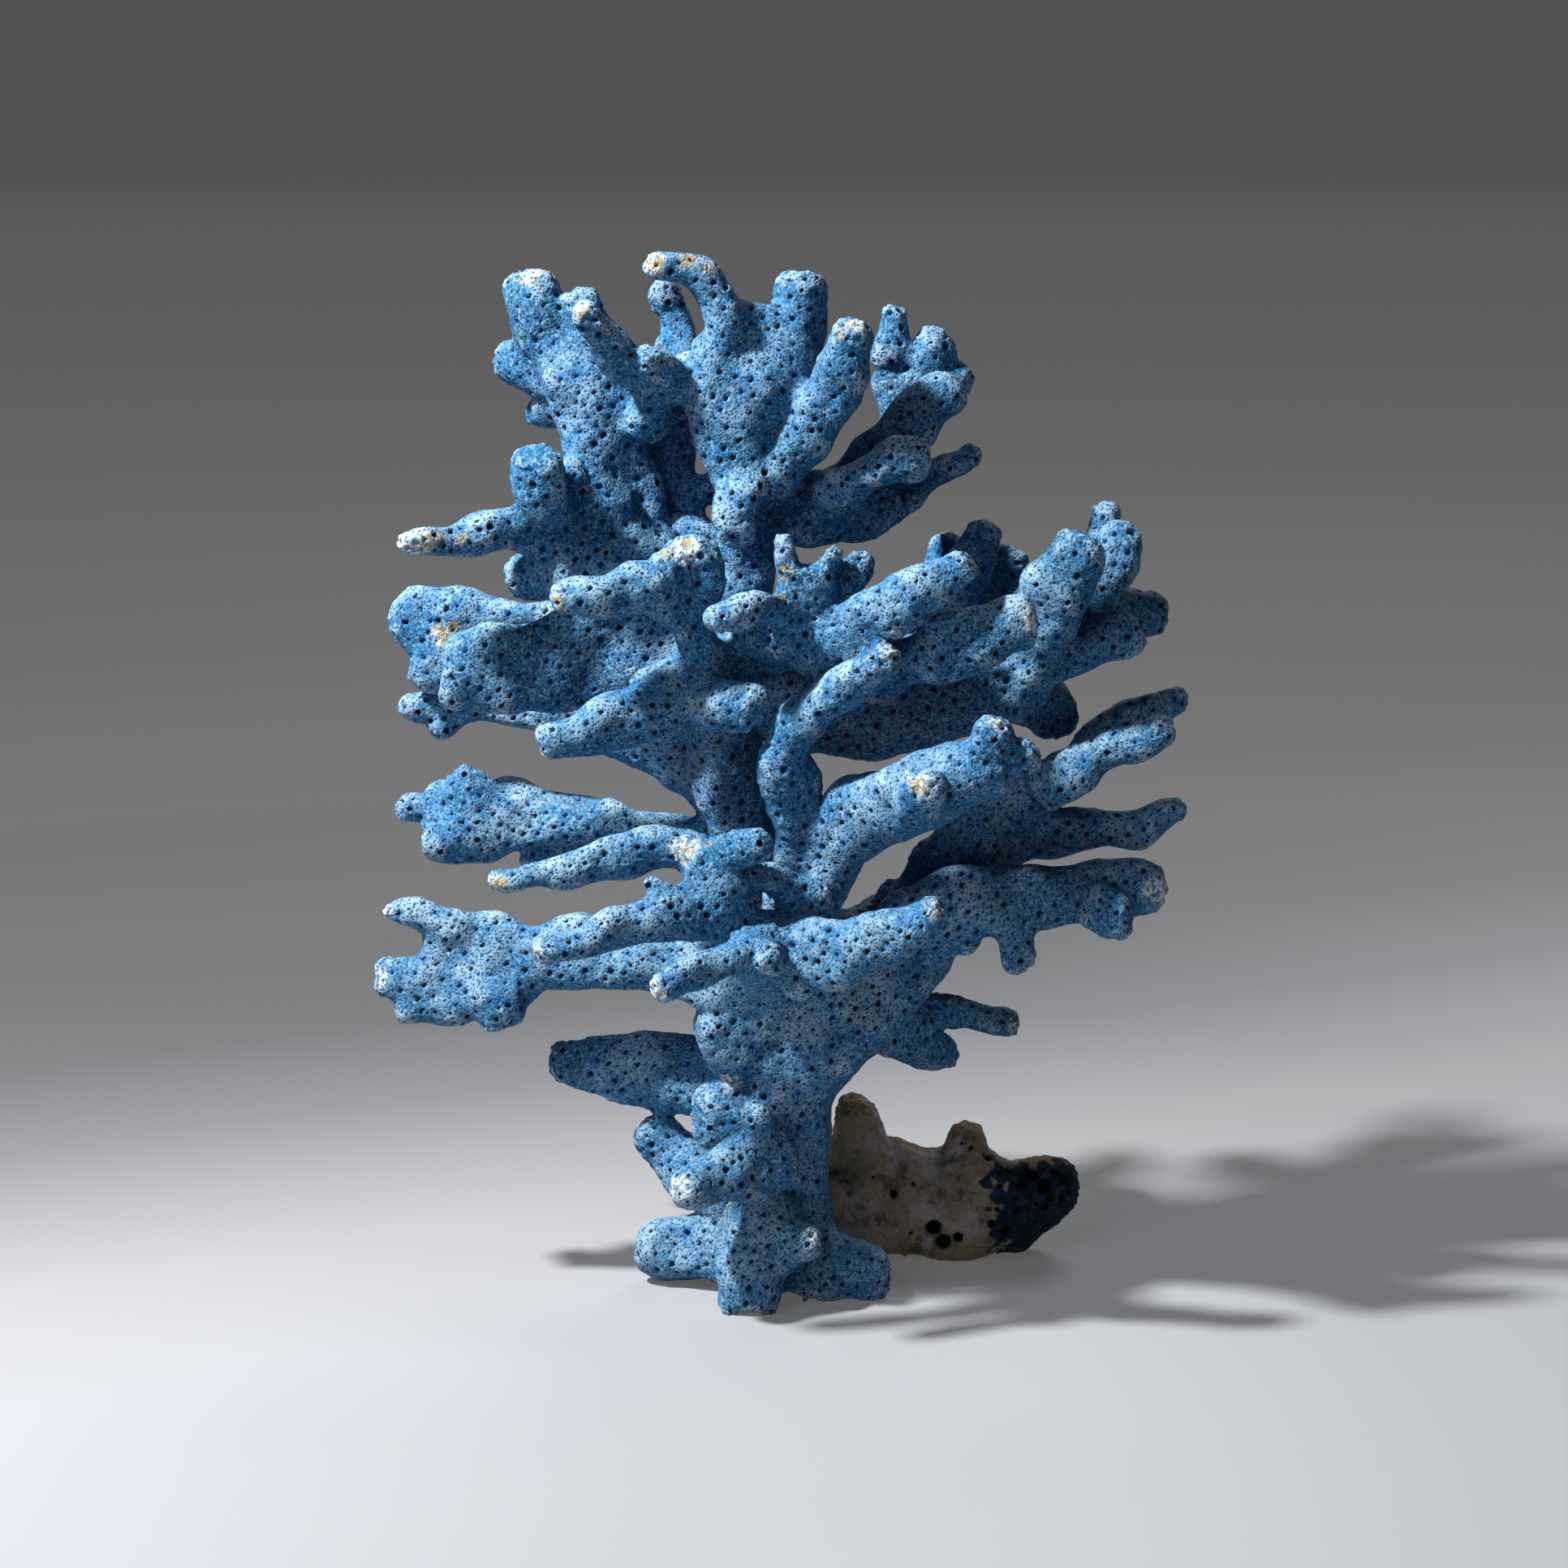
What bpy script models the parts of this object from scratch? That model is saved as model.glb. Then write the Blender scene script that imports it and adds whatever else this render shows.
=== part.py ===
"""Blue ridge coral skeleton, standing on its broken foot, with the old weathered branch it grew from.

Every branch is a limb: a rounded section carried along a smooth path.  A limb is written as stations from
its root to its tip, and each station is (across, up, back, half width, half thickness) in millimetres.
Across and up are measured as the eye sees them from EYE_DISTANCE in front and EYE_TILT above the floor,
on the upright plane through the front of the foot; back is the plain distance behind that front.  The limbs
of one main branch are grown together, made lumpy, thinned to facets and cut where they meet the branch
that carries them.
"""
import math

import bmesh
import bpy
import numpy as np

# The specimen's real height, and the height that the stations below draw it at, both in millimetres
SPECIMEN_HEIGHT = 161.2
DRAWN_HEIGHT = 161.2
MM = 0.001 * SPECIMEN_HEIGHT / DRAWN_HEIGHT

# The point of view that the stations are measured from
EYE_DISTANCE = 671.0
EYE_TILT = math.radians(10.0)
EYE_ACROSS = -2.25
EYE_UP = 80.25

# The middle of the trunk's flat foot, which becomes the origin
FOOT_ACROSS = -2.0
FOOT_BACK = 7.0

# The surface: how finely limbs are drawn, how they grow together, and how coarse the facets are
SECTION_SIDES = 14
STATION_STEP = 2.0
SECTION_SQUARENESS = 2.5
TIP_SQUARENESS = 2.8
TIP_LENGTH = 0.8
GROW_VOXEL = 0.9
SMOOTH_ROUNDS = 5
SMOOTH_AGAIN = 2
LUMP_LENGTH = 11.0
LUMP_HEIGHT = 0.45
LUMP_WAVES = 24
LUMP_SEED = 7
FACET_AREA = 6.3
GAP = 0.7

SKELETON_COLOUR = (0.30, 0.47, 0.72)
DEEP_COLOUR = (0.12, 0.28, 0.55)
WEATHERED_COLOUR = (0.15, 0.12, 0.085)

# The trunk: column, the two shoulders that carry the fans, and the lobes of the foot
TRUNK = [
    [(-2, -6, 8, 9, 8), (-2, 0, 8, 9, 8), (-1.5, 10, 9, 7.5, 7.5), (-1.5, 19, 9, 6.3, 6.5), (-2, 27, 9, 7, 7),
     (-2.5, 34, 8, 9, 7.5), (-1.5, 40, 8, 12, 8), (0, 46, 7, 15, 8), (1, 52, 6, 14, 7.5), (-1.5, 60, 6, 7.5, 6)],
    [(-1, 36, 6, 6.5, 6), (5.8, 43, 5, 7, 6), (13, 48.5, 5, 6.6, 5.5), (19, 54, 6, 5, 4.5), (21, 62, 8, 3.5, 4),
     (21, 67, 10, 3.5, 3.5)],
    [(-3, 34, 6, 7, 6), (-9, 41, 5, 6.5, 6), (-13, 47, 4, 5.5, 5)],
    [(-4, 17, 4, 6, 5), (-5.5, 10, 0, 7, 5), (-7.8, 4.5, -2, 5.7, 5), (-7.2, -4, -2, 4.2, 4)],
    [(-5, 10, -2, 4, 3), (3, 10.2, -3, 2.2, 2.5)],
    [(-4, 28, 4, 6, 5), (-16, 29, 3, 5, 4.5)],
    [(1, 10, 6, 5.5, 5.5), (6, 6, 6, 5.3, 5.5), (13.7, 5.0, 6, 5, 5.5)],
    [(-6, 9, 9, 5, 6), (-15, 8.6, 12, 5.2, 5.5), (-20, 9, 14, 4.5, 5), (-24.3, 9.4, 15, 3, 3.6)],
    [(-8, 16, 10, 5, 4.5), (-15, 20, 13, 4.7, 4), (-20, 24, 15, 4.4, 3.6), (-24, 28.3, 16, 3.8, 3)],
    [(-2, 24, 0, 6, 5), (-8, 21.5, -5, 5.6, 4), (-13, 19.3, -9, 4.2, 3.4), (-19, 18, -13, 2.7, 2.8)],
    [(-5, 24, -4, 3, 3), (-7, 31, -8, 2.1, 2.3)],
]

# The old branch behind the foot, dead long before the rest and overgrown with crust
WEATHERED_BASE = [
    [(4, 17, 24, 7, 6), (11, 17, 27, 8.6, 7), (19, 15.6, 29, 8.4, 7), (27, 16, 30, 8.6, 7),
     (33, 15.3, 30, 7.6, 6), (38.5, 17.6, 30, 5.4, 5), (43.4, 18.2, 30, 3.2, 4)],
    [(9, 20, 26, 4.5, 4.5), (9.2, 32.5, 27, 3.9, 4.2)],
    [(25.5, 19, 30, 4.5, 4.5), (26.3, 28.2, 30, 2.4, 3)],
    [(0, 14, 16, 5, 5), (5, 16, 24, 6, 6)],
]

LOWER_LEFT_BRANCH = [
    [(-8, 33.5, 12, 6, 5), (-17, 35.5, 15, 6.5, 4.5), (-25, 36.6, 17, 6.2, 4.2), (-31, 37.2, 18, 4.6, 3.6),
     (-38.7, 37.8, 19, 3.6, 3)],
    [(-34.5, 37, 18, 2, 2.4), (-35, 41.3, 18, 1.6, 2)],
]

LOWER_RIGHT_BRANCH = [
    [(8, 46, 12, 5, 5), (15, 45, 18, 4.5, 4), (20, 45, 22, 3.6, 3.4)],
    [(19, 46, 21, 3, 3), (26, 44.8, 24, 2.4, 2.6), (34.3, 43.3, 26, 2.3, 2.4)],
    [(12, 42.5, 16, 4.5, 4), (16, 41.5, 19, 3.8, 3.2), (19, 40.2, 22, 3, 2.9), (24.7, 38, 24, 2.2, 2.4)],
]

LEFT_FAN = [
    [(-4, 50, 4, 9, 6), (-14, 51.8, 5, 6.5, 5), (-23, 53.3, 7, 5.3, 4), (-32, 54.2, 8, 5.7, 3.6),
     (-40, 53.8, 9, 6, 3.5), (-47, 52.5, 10, 8.3, 3.4), (-58.5, 52, 11, 8, 3.2)],
    [(-50, 57, 10, 3.5, 3), (-56, 59.4, 11, 2.5, 2.6), (-64.7, 60.7, 12, 1.8, 2)],
    [(-54, 51, 10, 4.5, 3), (-65.8, 50.2, 11, 3.5, 2.8)],
    [(-50, 48, 9, 4, 3), (-56, 46, 9, 2.8, 2.6), (-62.2, 45, 9, 1.8, 2.2)],
    [(-47, 50, 7, 4.5, 3.2), (-45, 41.9, 6, 3.4, 3)],
]

MID_LEFT_FAN = [
    [(-6, 70, 10, 4, 4), (-14, 72, 13, 2.8, 3.4), (-21, 73.4, 15, 2.5, 3.2), (-28, 74.2, 16, 2.8, 3.2),
     (-36, 74.4, 17, 3.6, 3.2), (-44, 74, 18, 5, 3.2), (-50, 74.2, 19, 6.3, 3), (-57.8, 75, 20, 6, 2.8)],
    [(-54, 76.3, 19, 2, 2.3), (-62, 76.4, 20, 1.8, 2)],
    [(-48, 77, 18, 4, 2.8), (-54, 82, 18, 3.6, 2.5)],
    [(-48, 72.8, 17, 3.8, 3), (-57.8, 72.4, 18, 2.9, 2.6)],
    [(-25, 74.5, 20, 1.8, 3), (-34, 76.6, 23, 1.6, 3), (-47.2, 80.2, 26, 1.6, 3)],
    [(-30, 70.5, 20, 1.6, 3), (-43, 68.8, 22, 1.5, 3)],
    [(-14, 66, 14, 2.5, 2.5), (-28.6, 62, 22, 2, 2)],
]

RIGHT_LOWER_FAN = [
    [(12, 56, 4, 5, 4.5), (20, 60.5, 4, 5.5, 4), (28, 62, 4, 6, 3.8), (37, 62.8, 4, 5.2, 3.5),
     (46, 63.8, 4, 5, 3.3), (51.5, 64.1, 4, 4.6, 3), (56.4, 63.7, 4, 3, 2.8)],
    [(32, 60, 4, 4, 3.4), (33.2, 56, 3, 3.4, 3), (33, 50.8, 3, 1.8, 2)],
    [(34.5, 56, 3, 1.8, 2), (35.7, 52.8, 3, 1.3, 1.5)],
    [(44, 62, 0, 4, 3), (51.5, 58.6, -3, 3.4, 3)],
    [(26, 58, 4, 3, 3), (25.8, 54, 4, 2.5, 2.5)],
    [(15, 60, 14, 3, 3), (15, 65.5, 18, 2.8, 2.8)],
]

RIGHT_UPPER_FAN = [
    [(16, 60, 8, 4.5, 4.5), (20.5, 66.5, 10, 3.8, 4), (26, 71.5, 12, 6, 3.8), (32, 75, 13, 7.8, 3.6),
     (38, 78, 13, 6.8, 3.5)],
    [(36, 79.5, 17, 3.5, 3.3), (43, 84, 19, 3, 3), (50, 90, 21, 2.7, 2.8), (60.2, 93.5, 23, 2.5, 2.5)],
    [(36, 78, 10, 4.2, 3.3), (42, 81.5, 9, 3.9, 3.2), (48, 85.5, 8, 3.4, 3), (58, 89, 7, 3.2, 2.8)],
    [(34, 73, 13, 4.5, 3.4), (42, 73.2, 13, 3.6, 3.2), (50, 73.5, 13, 3.6, 3), (60.1, 76.8, 13, 2, 2.2)],
]

FRONT_CLUSTER = [
    [(-2, 50, -2, 7, 6), (-5, 55, -12, 5.5, 5), (-9, 58, -16, 5, 4.5)],
    [(-9, 57, -15, 5, 4.5), (-13, 62, -16, 5, 4), (-14, 68, -16, 4.5, 3.8), (-13, 72, -16, 3.5, 3.5)],
    [(-13, 69.5, -15, 3.2, 3.2), (-20, 70.2, -14, 3.2, 3), (-26.5, 69.7, -14, 3.7, 3.2),
     (-33, 67.5, -14, 3, 2.9), (-40, 66.4, -15, 2.4, 2.4), (-48.2, 65.3, -16, 1.8, 2)],
    [(-14, 70, -16, 3, 3), (-4.1, 71, -19, 3.1, 3)],
    [(-17, 61, -18, 2.6, 2.6), (-24, 66.2, -20, 1.8, 2)],
    [(-12, 60.5, -15, 4, 3.5), (-20, 60, -20, 3.9, 3.4), (-27, 58, -23, 3.5, 3.2), (-33, 56, -25, 3, 3),
     (-40.8, 53.9, -27, 2.7, 2.8)],
    [(-3, 56.5, -16, 3.2, 3.2), (-9, 54.3, -22, 2.9, 3), (-15, 51.5, -26, 2.9, 2.9),
     (-22.8, 48.4, -30, 2.8, 2.8)],
    [(-8, 56, -18, 2.8, 2.8), (-2.3, 52.6, -25, 2.7, 2.7)],
    [(-5, 54, -12, 5, 4.5), (2, 54.5, -17, 5.2, 4), (9, 55, -21, 5, 3.8), (15, 57, -24, 4.2, 3.5),
     (22.8, 61.2, -26, 3.4, 3.2)],
    [(0, 51, -17, 2.5, 2.5), (-0.5, 47.5, -19, 1.8, 2)],
    [(4, 58, -6, 4, 3.5), (0.5, 62.5, -10, 3.8, 2.6), (-4, 65.8, -12, 2.9, 2), (-9.1, 64.9, -14, 1.6, 1.6)],
]

# The stem above the shoulders, and the limb that bends out behind it to the left
CENTRAL_STEM = [
    [(-3, 52, 7, 7, 6), (-5, 58, 8, 6, 6), (-8, 68, 9, 5.3, 5.5), (-9, 76, 8, 5.3, 5.5), (-11, 84, 7, 5.8, 5.5),
     (-12, 92, 6, 6, 5.5), (-11, 100, 6, 6.5, 5.5), (-8.5, 108, 6, 5, 5), (-7.5, 114, 6, 4, 4.5),
     (-8, 119, 6, 4, 4.5)],
    [(-9, 74, 12, 5, 4.5), (-14, 82, 14, 5, 4.5), (-21, 85.6, 17, 5, 4), (-27.5, 87.2, 18, 3.2, 3)],
]

CENTRE_RIGHT_ARM = [
    [(0, 56, 2, 6, 6), (0.5, 68, -2, 5.2, 5), (0, 74, -4, 4, 4.5), (-1, 80, -7, 4, 4)],
    [(0, 78, -6, 4.5, 4.5), (-2.3, 84.5, -8, 4.2, 4.2), (0.5, 90, -10, 3.8, 3.8), (6, 94.5, -13, 3.5, 3.5),
     (14.3, 100.5, -16, 2.8, 2.8)],
    [(0.3, 62, 0, 5.5, 5), (5, 70, -4.4, 5.8, 5), (11, 75.7, -10, 6, 4.8), (18, 78.5, -16, 6.3, 4.5),
     (25, 81.5, -19, 5.2, 4.2), (33, 84, -21, 4.5, 3.8)],
    [(28, 82, -20, 4, 3.6), (30.6, 90.8, -22, 2.9, 2.9)],
    [(31, 83, -20, 3.2, 3), (37.1, 85.2, -20, 2.7, 2.7)],
    [(18, 75, -17, 4, 4), (18.7, 78, -22, 3.6, 3.4), (19, 81.5, -26, 3.3, 3)],
]

LEFT_PLATES = [
    [(-12, 98, 4, 7, 4), (-20, 101, 3, 8, 3.8), (-30, 101, 2, 8, 3.5), (-38, 98.8, 1, 7.8, 3.2),
     (-46, 98.2, 0, 6.7, 3.2), (-55.5, 98.4, -1, 6, 3)],
    [(-22, 104, 8, 3, 3), (-28, 106, 14, 3, 3), (-40, 106.2, 16, 2, 2.6), (-47, 106, 17, 3, 2.8),
     (-53, 105.5, 18, 5.6, 3), (-58, 104.3, 19, 6, 3), (-61.9, 102.6, 19, 4.4, 2.8)],
    [(-54, 101, 18, 5, 3), (-58.8, 96, 18, 3, 2.6)],
    [(-14, 93, 10, 4, 4), (-25, 88, 18, 5, 4), (-36, 90.5, 19, 3, 3), (-48, 91, 20, 2, 2.6),
     (-55, 92, 21, 2.6, 2.6), (-61.7, 92.3, 22, 2, 2.2)],
    [(-50, 90.5, 20, 1.8, 2.2), (-57, 88.1, 20, 1.6, 2)],
]

RIGHT_PLATES = [
    [(-6, 92, 6, 7, 5), (2, 92.5, 6, 8.5, 5), (12, 92.8, 6, 9, 4.5), (22, 94.5, 7, 8.5, 4.5), (31, 96.5, 9, 7.8, 4.5),
     (38, 100, 11, 6, 4)],
    [(1, 99.5, -3, 3.5, 3.5), (7, 104, -10, 4, 3.3), (13, 107.5, -13, 4, 3), (19, 110.3, -14, 3.7, 2.8),
     (26.2, 114.7, -15, 2.7, 2.7)],
    [(3, 98, -6, 2, 2.2), (10, 103.2, -12, 1.8, 2), (19.7, 106.5, -14, 1.6, 2)],
    [(10, 97, 0, 4, 4), (17, 99.5, -7, 4.3, 3.4), (23, 101.5, -11, 6, 3.2), (29, 103.7, -12, 5, 3.2),
     (37, 105, -13, 5.2, 3.2)],
    [(32, 98, 6, 6, 4), (40, 100.8, 8, 4.5, 3.6), (46, 102.5, 9, 3.8, 3.4), (52.6, 104, 10, 3.3, 3)],
    [(30, 96, 12, 4.5, 4), (34, 95, 18, 4.5, 4), (41, 89.4, 26, 4.6, 4.2)],
    [(34, 100, 14, 4, 3.5), (40, 103, 22, 3.5, 3.5), (47, 106, 26, 3.2, 3.2), (56.9, 106.3, 30, 3.8, 3.5)],
    [(35, 101, 6, 5, 4), (38, 106.5, 3, 5.5, 3.8), (41, 111.5, 1, 5.6, 3.5), (43, 115.5, 0, 4.4, 3.2),
     (44, 119.6, 0, 3.2, 2.8)],
    [(38, 103, 10, 3.5, 3.5), (43, 107, 14, 3.5, 3.5), (47.5, 112.5, 16, 3.5, 3.2), (51, 119.8, 18, 3, 2.8)],
    [(42, 107, 16, 3, 3), (46, 113, 22, 3, 3), (47, 123.9, 26, 2.8, 2.8)],
    [(18, 97, 10, 4, 4), (20, 101, 14, 4, 4), (25, 109, 16, 3.5, 3.5), (29, 120.8, 18, 3.2, 3.2)],
    [(18, 98, 14, 4, 4), (20, 104, 26, 3, 3.2), (21.6, 110, 29, 2.8, 3), (23.7, 118.6, 32, 2.6, 2.8)],
    [(18, 104, 26, 3, 3), (26, 107, 28, 3.2, 3.2), (33.5, 116, 32, 3.2, 3)],
]

FRONT_LEFT_FINGERS = [
    [(-11, 97, 3, 4, 4), (-15, 101, -6, 3.3, 3.3), (-17, 104, -9, 3, 3)],
    [(-16.5, 103, -9, 2.8, 3), (-20.5, 108, -11, 3, 3), (-25, 110.6, -13, 3.5, 3.2), (-30, 109.2, -14, 2.9, 2.9),
     (-38.4, 108.2, -16, 2.6, 2.6)],
    [(-15.8, 103, -8, 2.8, 3), (-16.3, 108, -9, 4.5, 3.2), (-17, 112.5, -10, 5.6, 3.2), (-18, 116.9, -11, 4.8, 3)],
    [(-11, 94, 0, 5, 5), (-18, 94, -5, 4.5, 4), (-24, 90.5, -7, 4.6, 4), (-30, 89.2, -8, 4.2, 3.8),
     (-36, 87.3, -10, 3.7, 3.4), (-40.5, 85.6, -11, 2.9, 2.8)],
    [(-15, 101, -5, 2.2, 2.5), (-19, 98, -5, 2.5, 2.5), (-25, 94.5, -6, 2, 2.5)],
    [(-16, 93.5, -5, 4, 3.5), (-11, 92, -8, 3.9, 3.5), (-5.4, 91, -10, 3.3, 3)],
]

FRONT_CENTRE_FINGERS = [
    [(-9, 100, 2, 5, 5), (-3, 104.5, -5, 4, 4), (3, 105.5, -6, 4, 4)],
    [(1, 107, -7, 3, 3), (-5, 107, -12, 3, 3), (-14.4, 105.6, -17, 2.1, 2.2)],
    [(0, 105, -7, 5, 3.2), (1, 111, -8, 5, 3), (1.5, 114, -8, 4.6, 2.6)],
    [(-1.5, 112, -8, 2, 2.2), (-2.4, 119.3, -9, 1.6, 1.8)],
    [(3, 112, -8, 2.5, 2.4), (6.3, 116.8, -8, 1.9, 2.2)],
    [(3, 103.5, -6, 3, 3), (6.5, 109, -5, 2.6, 2.8), (10.6, 116.5, -4, 2.3, 2.5)],
    [(-6, 100, 0, 4, 4), (2.5, 101, -3, 2.6, 3)],
]

UPPER_LEFT_ARM = [
    [(-12, 103, 6, 6, 5), (-20, 108, 4, 8, 4.5), (-28, 113, 3, 9, 4.5), (-35, 119, 3, 9, 4.5), (-40, 122, 3, 6.5, 4)],
    [(-37, 120, 0, 5, 4), (-40, 126, -4, 4.2, 4), (-41, 132.2, -7, 4.2, 4)],
    [(-38, 119, 2, 5, 4), (-45, 119.3, -2, 4, 3.6), (-51, 118.2, -5, 3.2, 3.2), (-57, 117.3, -8, 2.7, 2.6),
     (-62.6, 117, -10, 1.8, 2)],
    [(-26, 122, 3, 4, 4), (-31, 125, 2, 3.5, 3.5), (-37, 128.5, 1, 3, 3.5)],
    [(-36, 114, 5, 5, 4), (-44.8, 111, 5, 3.2, 3.5)],
]

CENTRE_CROWN = [
    [(-8, 115, 5, 3.8, 4), (-8.5, 123, 2, 4, 4), (-9.5, 129, 0, 5, 4), (-10.5, 135, -1, 6.8, 4),
     (-9.5, 141, -1, 8.8, 4), (-6.5, 147, 1, 9.5, 4), (-5, 153.8, 3, 7, 3.5)],
    [(-8, 128, -2, 3.5, 3.5), (-9.3, 123, -3, 3.6, 3.6), (-9.8, 116.3, -3, 3, 3)],
    [(-10.5, 142, 0, 4, 3.5), (-11.3, 148, -1, 3.3, 3.3), (-11.9, 153, -1, 3.5, 3.3), (-14.2, 157.7, -1, 3.3, 3),
     (-18.5, 160, -2, 2.6, 2.6), (-23.9, 160.8, -3, 1.9, 2)],
    [(-2, 145, 4, 5, 4.5), (0.4, 151, 5, 4.6, 4.5), (0.9, 159.4, 6, 4.5, 4.5)],
    [(-5, 125, 2, 5, 4.2), (-3, 128, 0, 4.5, 4), (0.5, 133.5, 0, 3.9, 3.9), (4.5, 139, -3, 4.3, 4),
     (7.2, 144, -6, 3.7, 3.7), (9.2, 151.7, -9, 3.4, 3.4)],
    [(-12, 140, 1, 4, 3.5), (-17, 141, 1, 3, 3), (-20, 143.5, -2, 2.8, 2.6), (-24.8, 146.2, -7, 2.5, 2.3)],
    [(-13, 140, 6, 4, 4), (-16, 142, 11, 3.6, 3.6), (-17, 143, 16, 3, 3), (-17.7, 148, 19, 2.6, 2.6), (-19.2, 152, 20, 2.4, 2.5),
     (-20.6, 155, 20, 2.1, 2.3), (-22.9, 154.2, 20, 1.8, 2)],
    [(-20, 153.5, 20, 1.8, 2), (-20.5, 157.3, 20, 1.5, 1.8)],
    [(-17.5, 149, 19, 1.8, 2), (-22.2, 147.7, 20, 1.5, 1.8)],
]

LEFT_CROWN = [
    [(-10, 110, 8, 4, 4), (-18, 114, 8, 4, 4), (-24, 118, 8, 5, 4), (-26.5, 124, 8, 5.5, 4), (-29.5, 131, 7, 7, 4),
     (-31, 138, 7, 8, 4), (-33, 145, 8, 7.5, 4), (-36, 150, 10, 6, 3.5)],
    [(-34, 145, 9, 5, 4), (-38.4, 150, 11, 5.6, 4.5), (-41, 154, 12, 5.4, 4.5), (-41.8, 159.8, 13, 4.2, 4)],
    [(-36, 143, 10, 4.5, 3.5), (-41, 144.8, 13, 4, 3.5), (-47, 146, 15, 3.2, 3)],
    [(-34, 138, 12, 3, 3), (-42, 137, 20, 2.4, 2.5)],
    [(-24, 141, 8, 3, 3), (-28, 147, 8, 3, 3), (-32, 152, 8, 3.2, 3), (-34.5, 156.2, 8, 2.6, 3)],
    [(-24, 134, 5, 4, 4), (-22.5, 139, 1, 3.2, 3.2), (-25, 142, -1, 2.9, 2.9), (-28.5, 146, -4, 2.8, 2.8),
     (-31.5, 150, -7, 2.7, 2.7), (-34, 154.2, -9, 2.5, 2.5)],
    [(-12, 116, 8, 3.6, 3.5), (-21, 118.5, 10, 3.8, 3.5), (-29.4, 117, 12, 3.3, 3)],
    [(-15, 117, 10, 4, 3.5), (-18, 121, 13, 4, 3.5), (-20, 129, 14, 4.3, 3.5), (-20.5, 139, 14, 4.2, 3.5)],
    [(-19, 123, 12, 3, 3), (-12, 127, 12, 2.4, 2.5)],
]

RIGHT_CROWN = [
    [(-7, 121, 6, 4.5, 4), (0, 122.6, 6, 5.8, 4), (7, 122.8, 7, 5.6, 3.5), (15, 123.2, 10, 3.4, 3)],
    [(4, 125, 8, 4, 3.6), (7, 126, 10, 3.5, 3.5), (12, 131, 12, 3.6, 3.5), (17, 135.5, 14, 4.3, 3.5),
     (21, 139, 15, 4, 3.5), (24.5, 142, 16, 3, 3)],
    [(8, 123, 12, 4, 3.6), (14.5, 127, 22, 4, 3.5), (16.5, 133, 26, 3.8, 3.4), (16.7, 139, 28, 5.2, 3.5),
     (17, 144, 28, 6.3, 3.5)],
    [(14, 144, 28, 3.4, 3.3), (14.2, 154.7, 29, 2.5, 2.6)],
    [(19, 143, 28, 3.8, 3.4), (22.7, 149.3, 29, 3.2, 3.2)],
    [(20, 141, 28, 4, 3.4), (26.5, 142.8, 30, 3, 3)],
    [(3, 122.5, 3, 4.5, 3.5), (9, 127, 1, 3.4, 3.3), (14, 130, 0, 3.2, 3.2), (20.2, 131, 0, 3.3, 3)],
    [(6, 119, 8, 2.8, 3), (14.5, 121.8, 12, 2.4, 3), (20, 127, 14, 2.6, 2.7), (27.6, 132.2, 16, 2.3, 2.5)],
]

# The branches of the hidden side, which the front view covers
BACK_LOWER_LEFT_BRANCH = [
    [(-6, 50, 10, 6, 5), (-12, 51.5, 22, 4.8, 4.5), (-20, 52.5, 33, 4.2, 4), (-27, 53.5, 44, 3.4, 3.2)],
    [(-15, 52, 26, 3.6, 3.6), (-12, 53.5, 38, 3.2, 3.2), (-9, 55, 47, 2.8, 2.8)],
    [(-22, 53, 34, 3.2, 3), (-34, 53, 39, 3.2, 2.8), (-43, 52.5, 42, 2.6, 2.4)],
]

BACK_LOWER_RIGHT_BRANCH = [
    [(6, 54, 10, 6, 5), (14, 59, 20, 4.8, 4.2), (22, 62, 30, 4, 3.8), (31, 63, 41, 3.4, 3.2)],
    [(16, 60, 24, 3.5, 3.4), (15, 60.5, 36, 3.4, 3.2), (13, 61, 46, 2.8, 2.8)],
    [(24, 62, 32, 3.2, 3), (36, 63, 34, 3, 2.8), (46, 64, 36, 2.6, 2.4)],
]

BACK_LEFT_BRANCH = [
    [(-12, 95, 9, 5.5, 5), (-19, 99, 21, 4.8, 4.2), (-28, 101, 32, 4.4, 4), (-36, 100, 42, 3.4, 3.2)],
    [(-22, 100, 25, 3.5, 3.4), (-19, 101, 37, 3.4, 3.2), (-17, 103, 47, 2.8, 2.8)],
    [(-30, 101, 33, 3.2, 3), (-40, 99, 35, 3, 2.8), (-49, 98, 37, 2.6, 2.4)],
]

BACK_RIGHT_BRANCH = [
    [(2, 95, 9, 5.5, 5), (8, 97, 22, 4.8, 4.4), (15, 98, 34, 4.6, 4), (23, 98, 46, 3.4, 3.2)],
    [(10, 98, 26, 3.6, 3.4), (5, 98, 38, 3.4, 3.2), (0, 98, 48, 2.8, 2.8)],
    [(16, 99, 36, 3.4, 3.2), (14, 105, 44, 3, 2.8), (12, 108, 52, 2.4, 2.4)],
]

BACK_CROWN_BRANCH = [
    [(-9, 122, 9, 4.4, 4), (-8, 129, 19, 4.2, 4), (-8, 137, 28, 4.6, 3.8), (-7, 146, 35, 3.4, 3.2)],
    [(-8, 134, 25, 3.4, 3.2), (-11, 141, 36, 3, 2.8), (-12, 147, 44, 2.4, 2.4)],
    [(-8, 130, 21, 3.4, 3.2), (-2, 138, 27, 3, 2.8), (0, 145, 31, 2.6, 2.4)],
]

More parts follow.
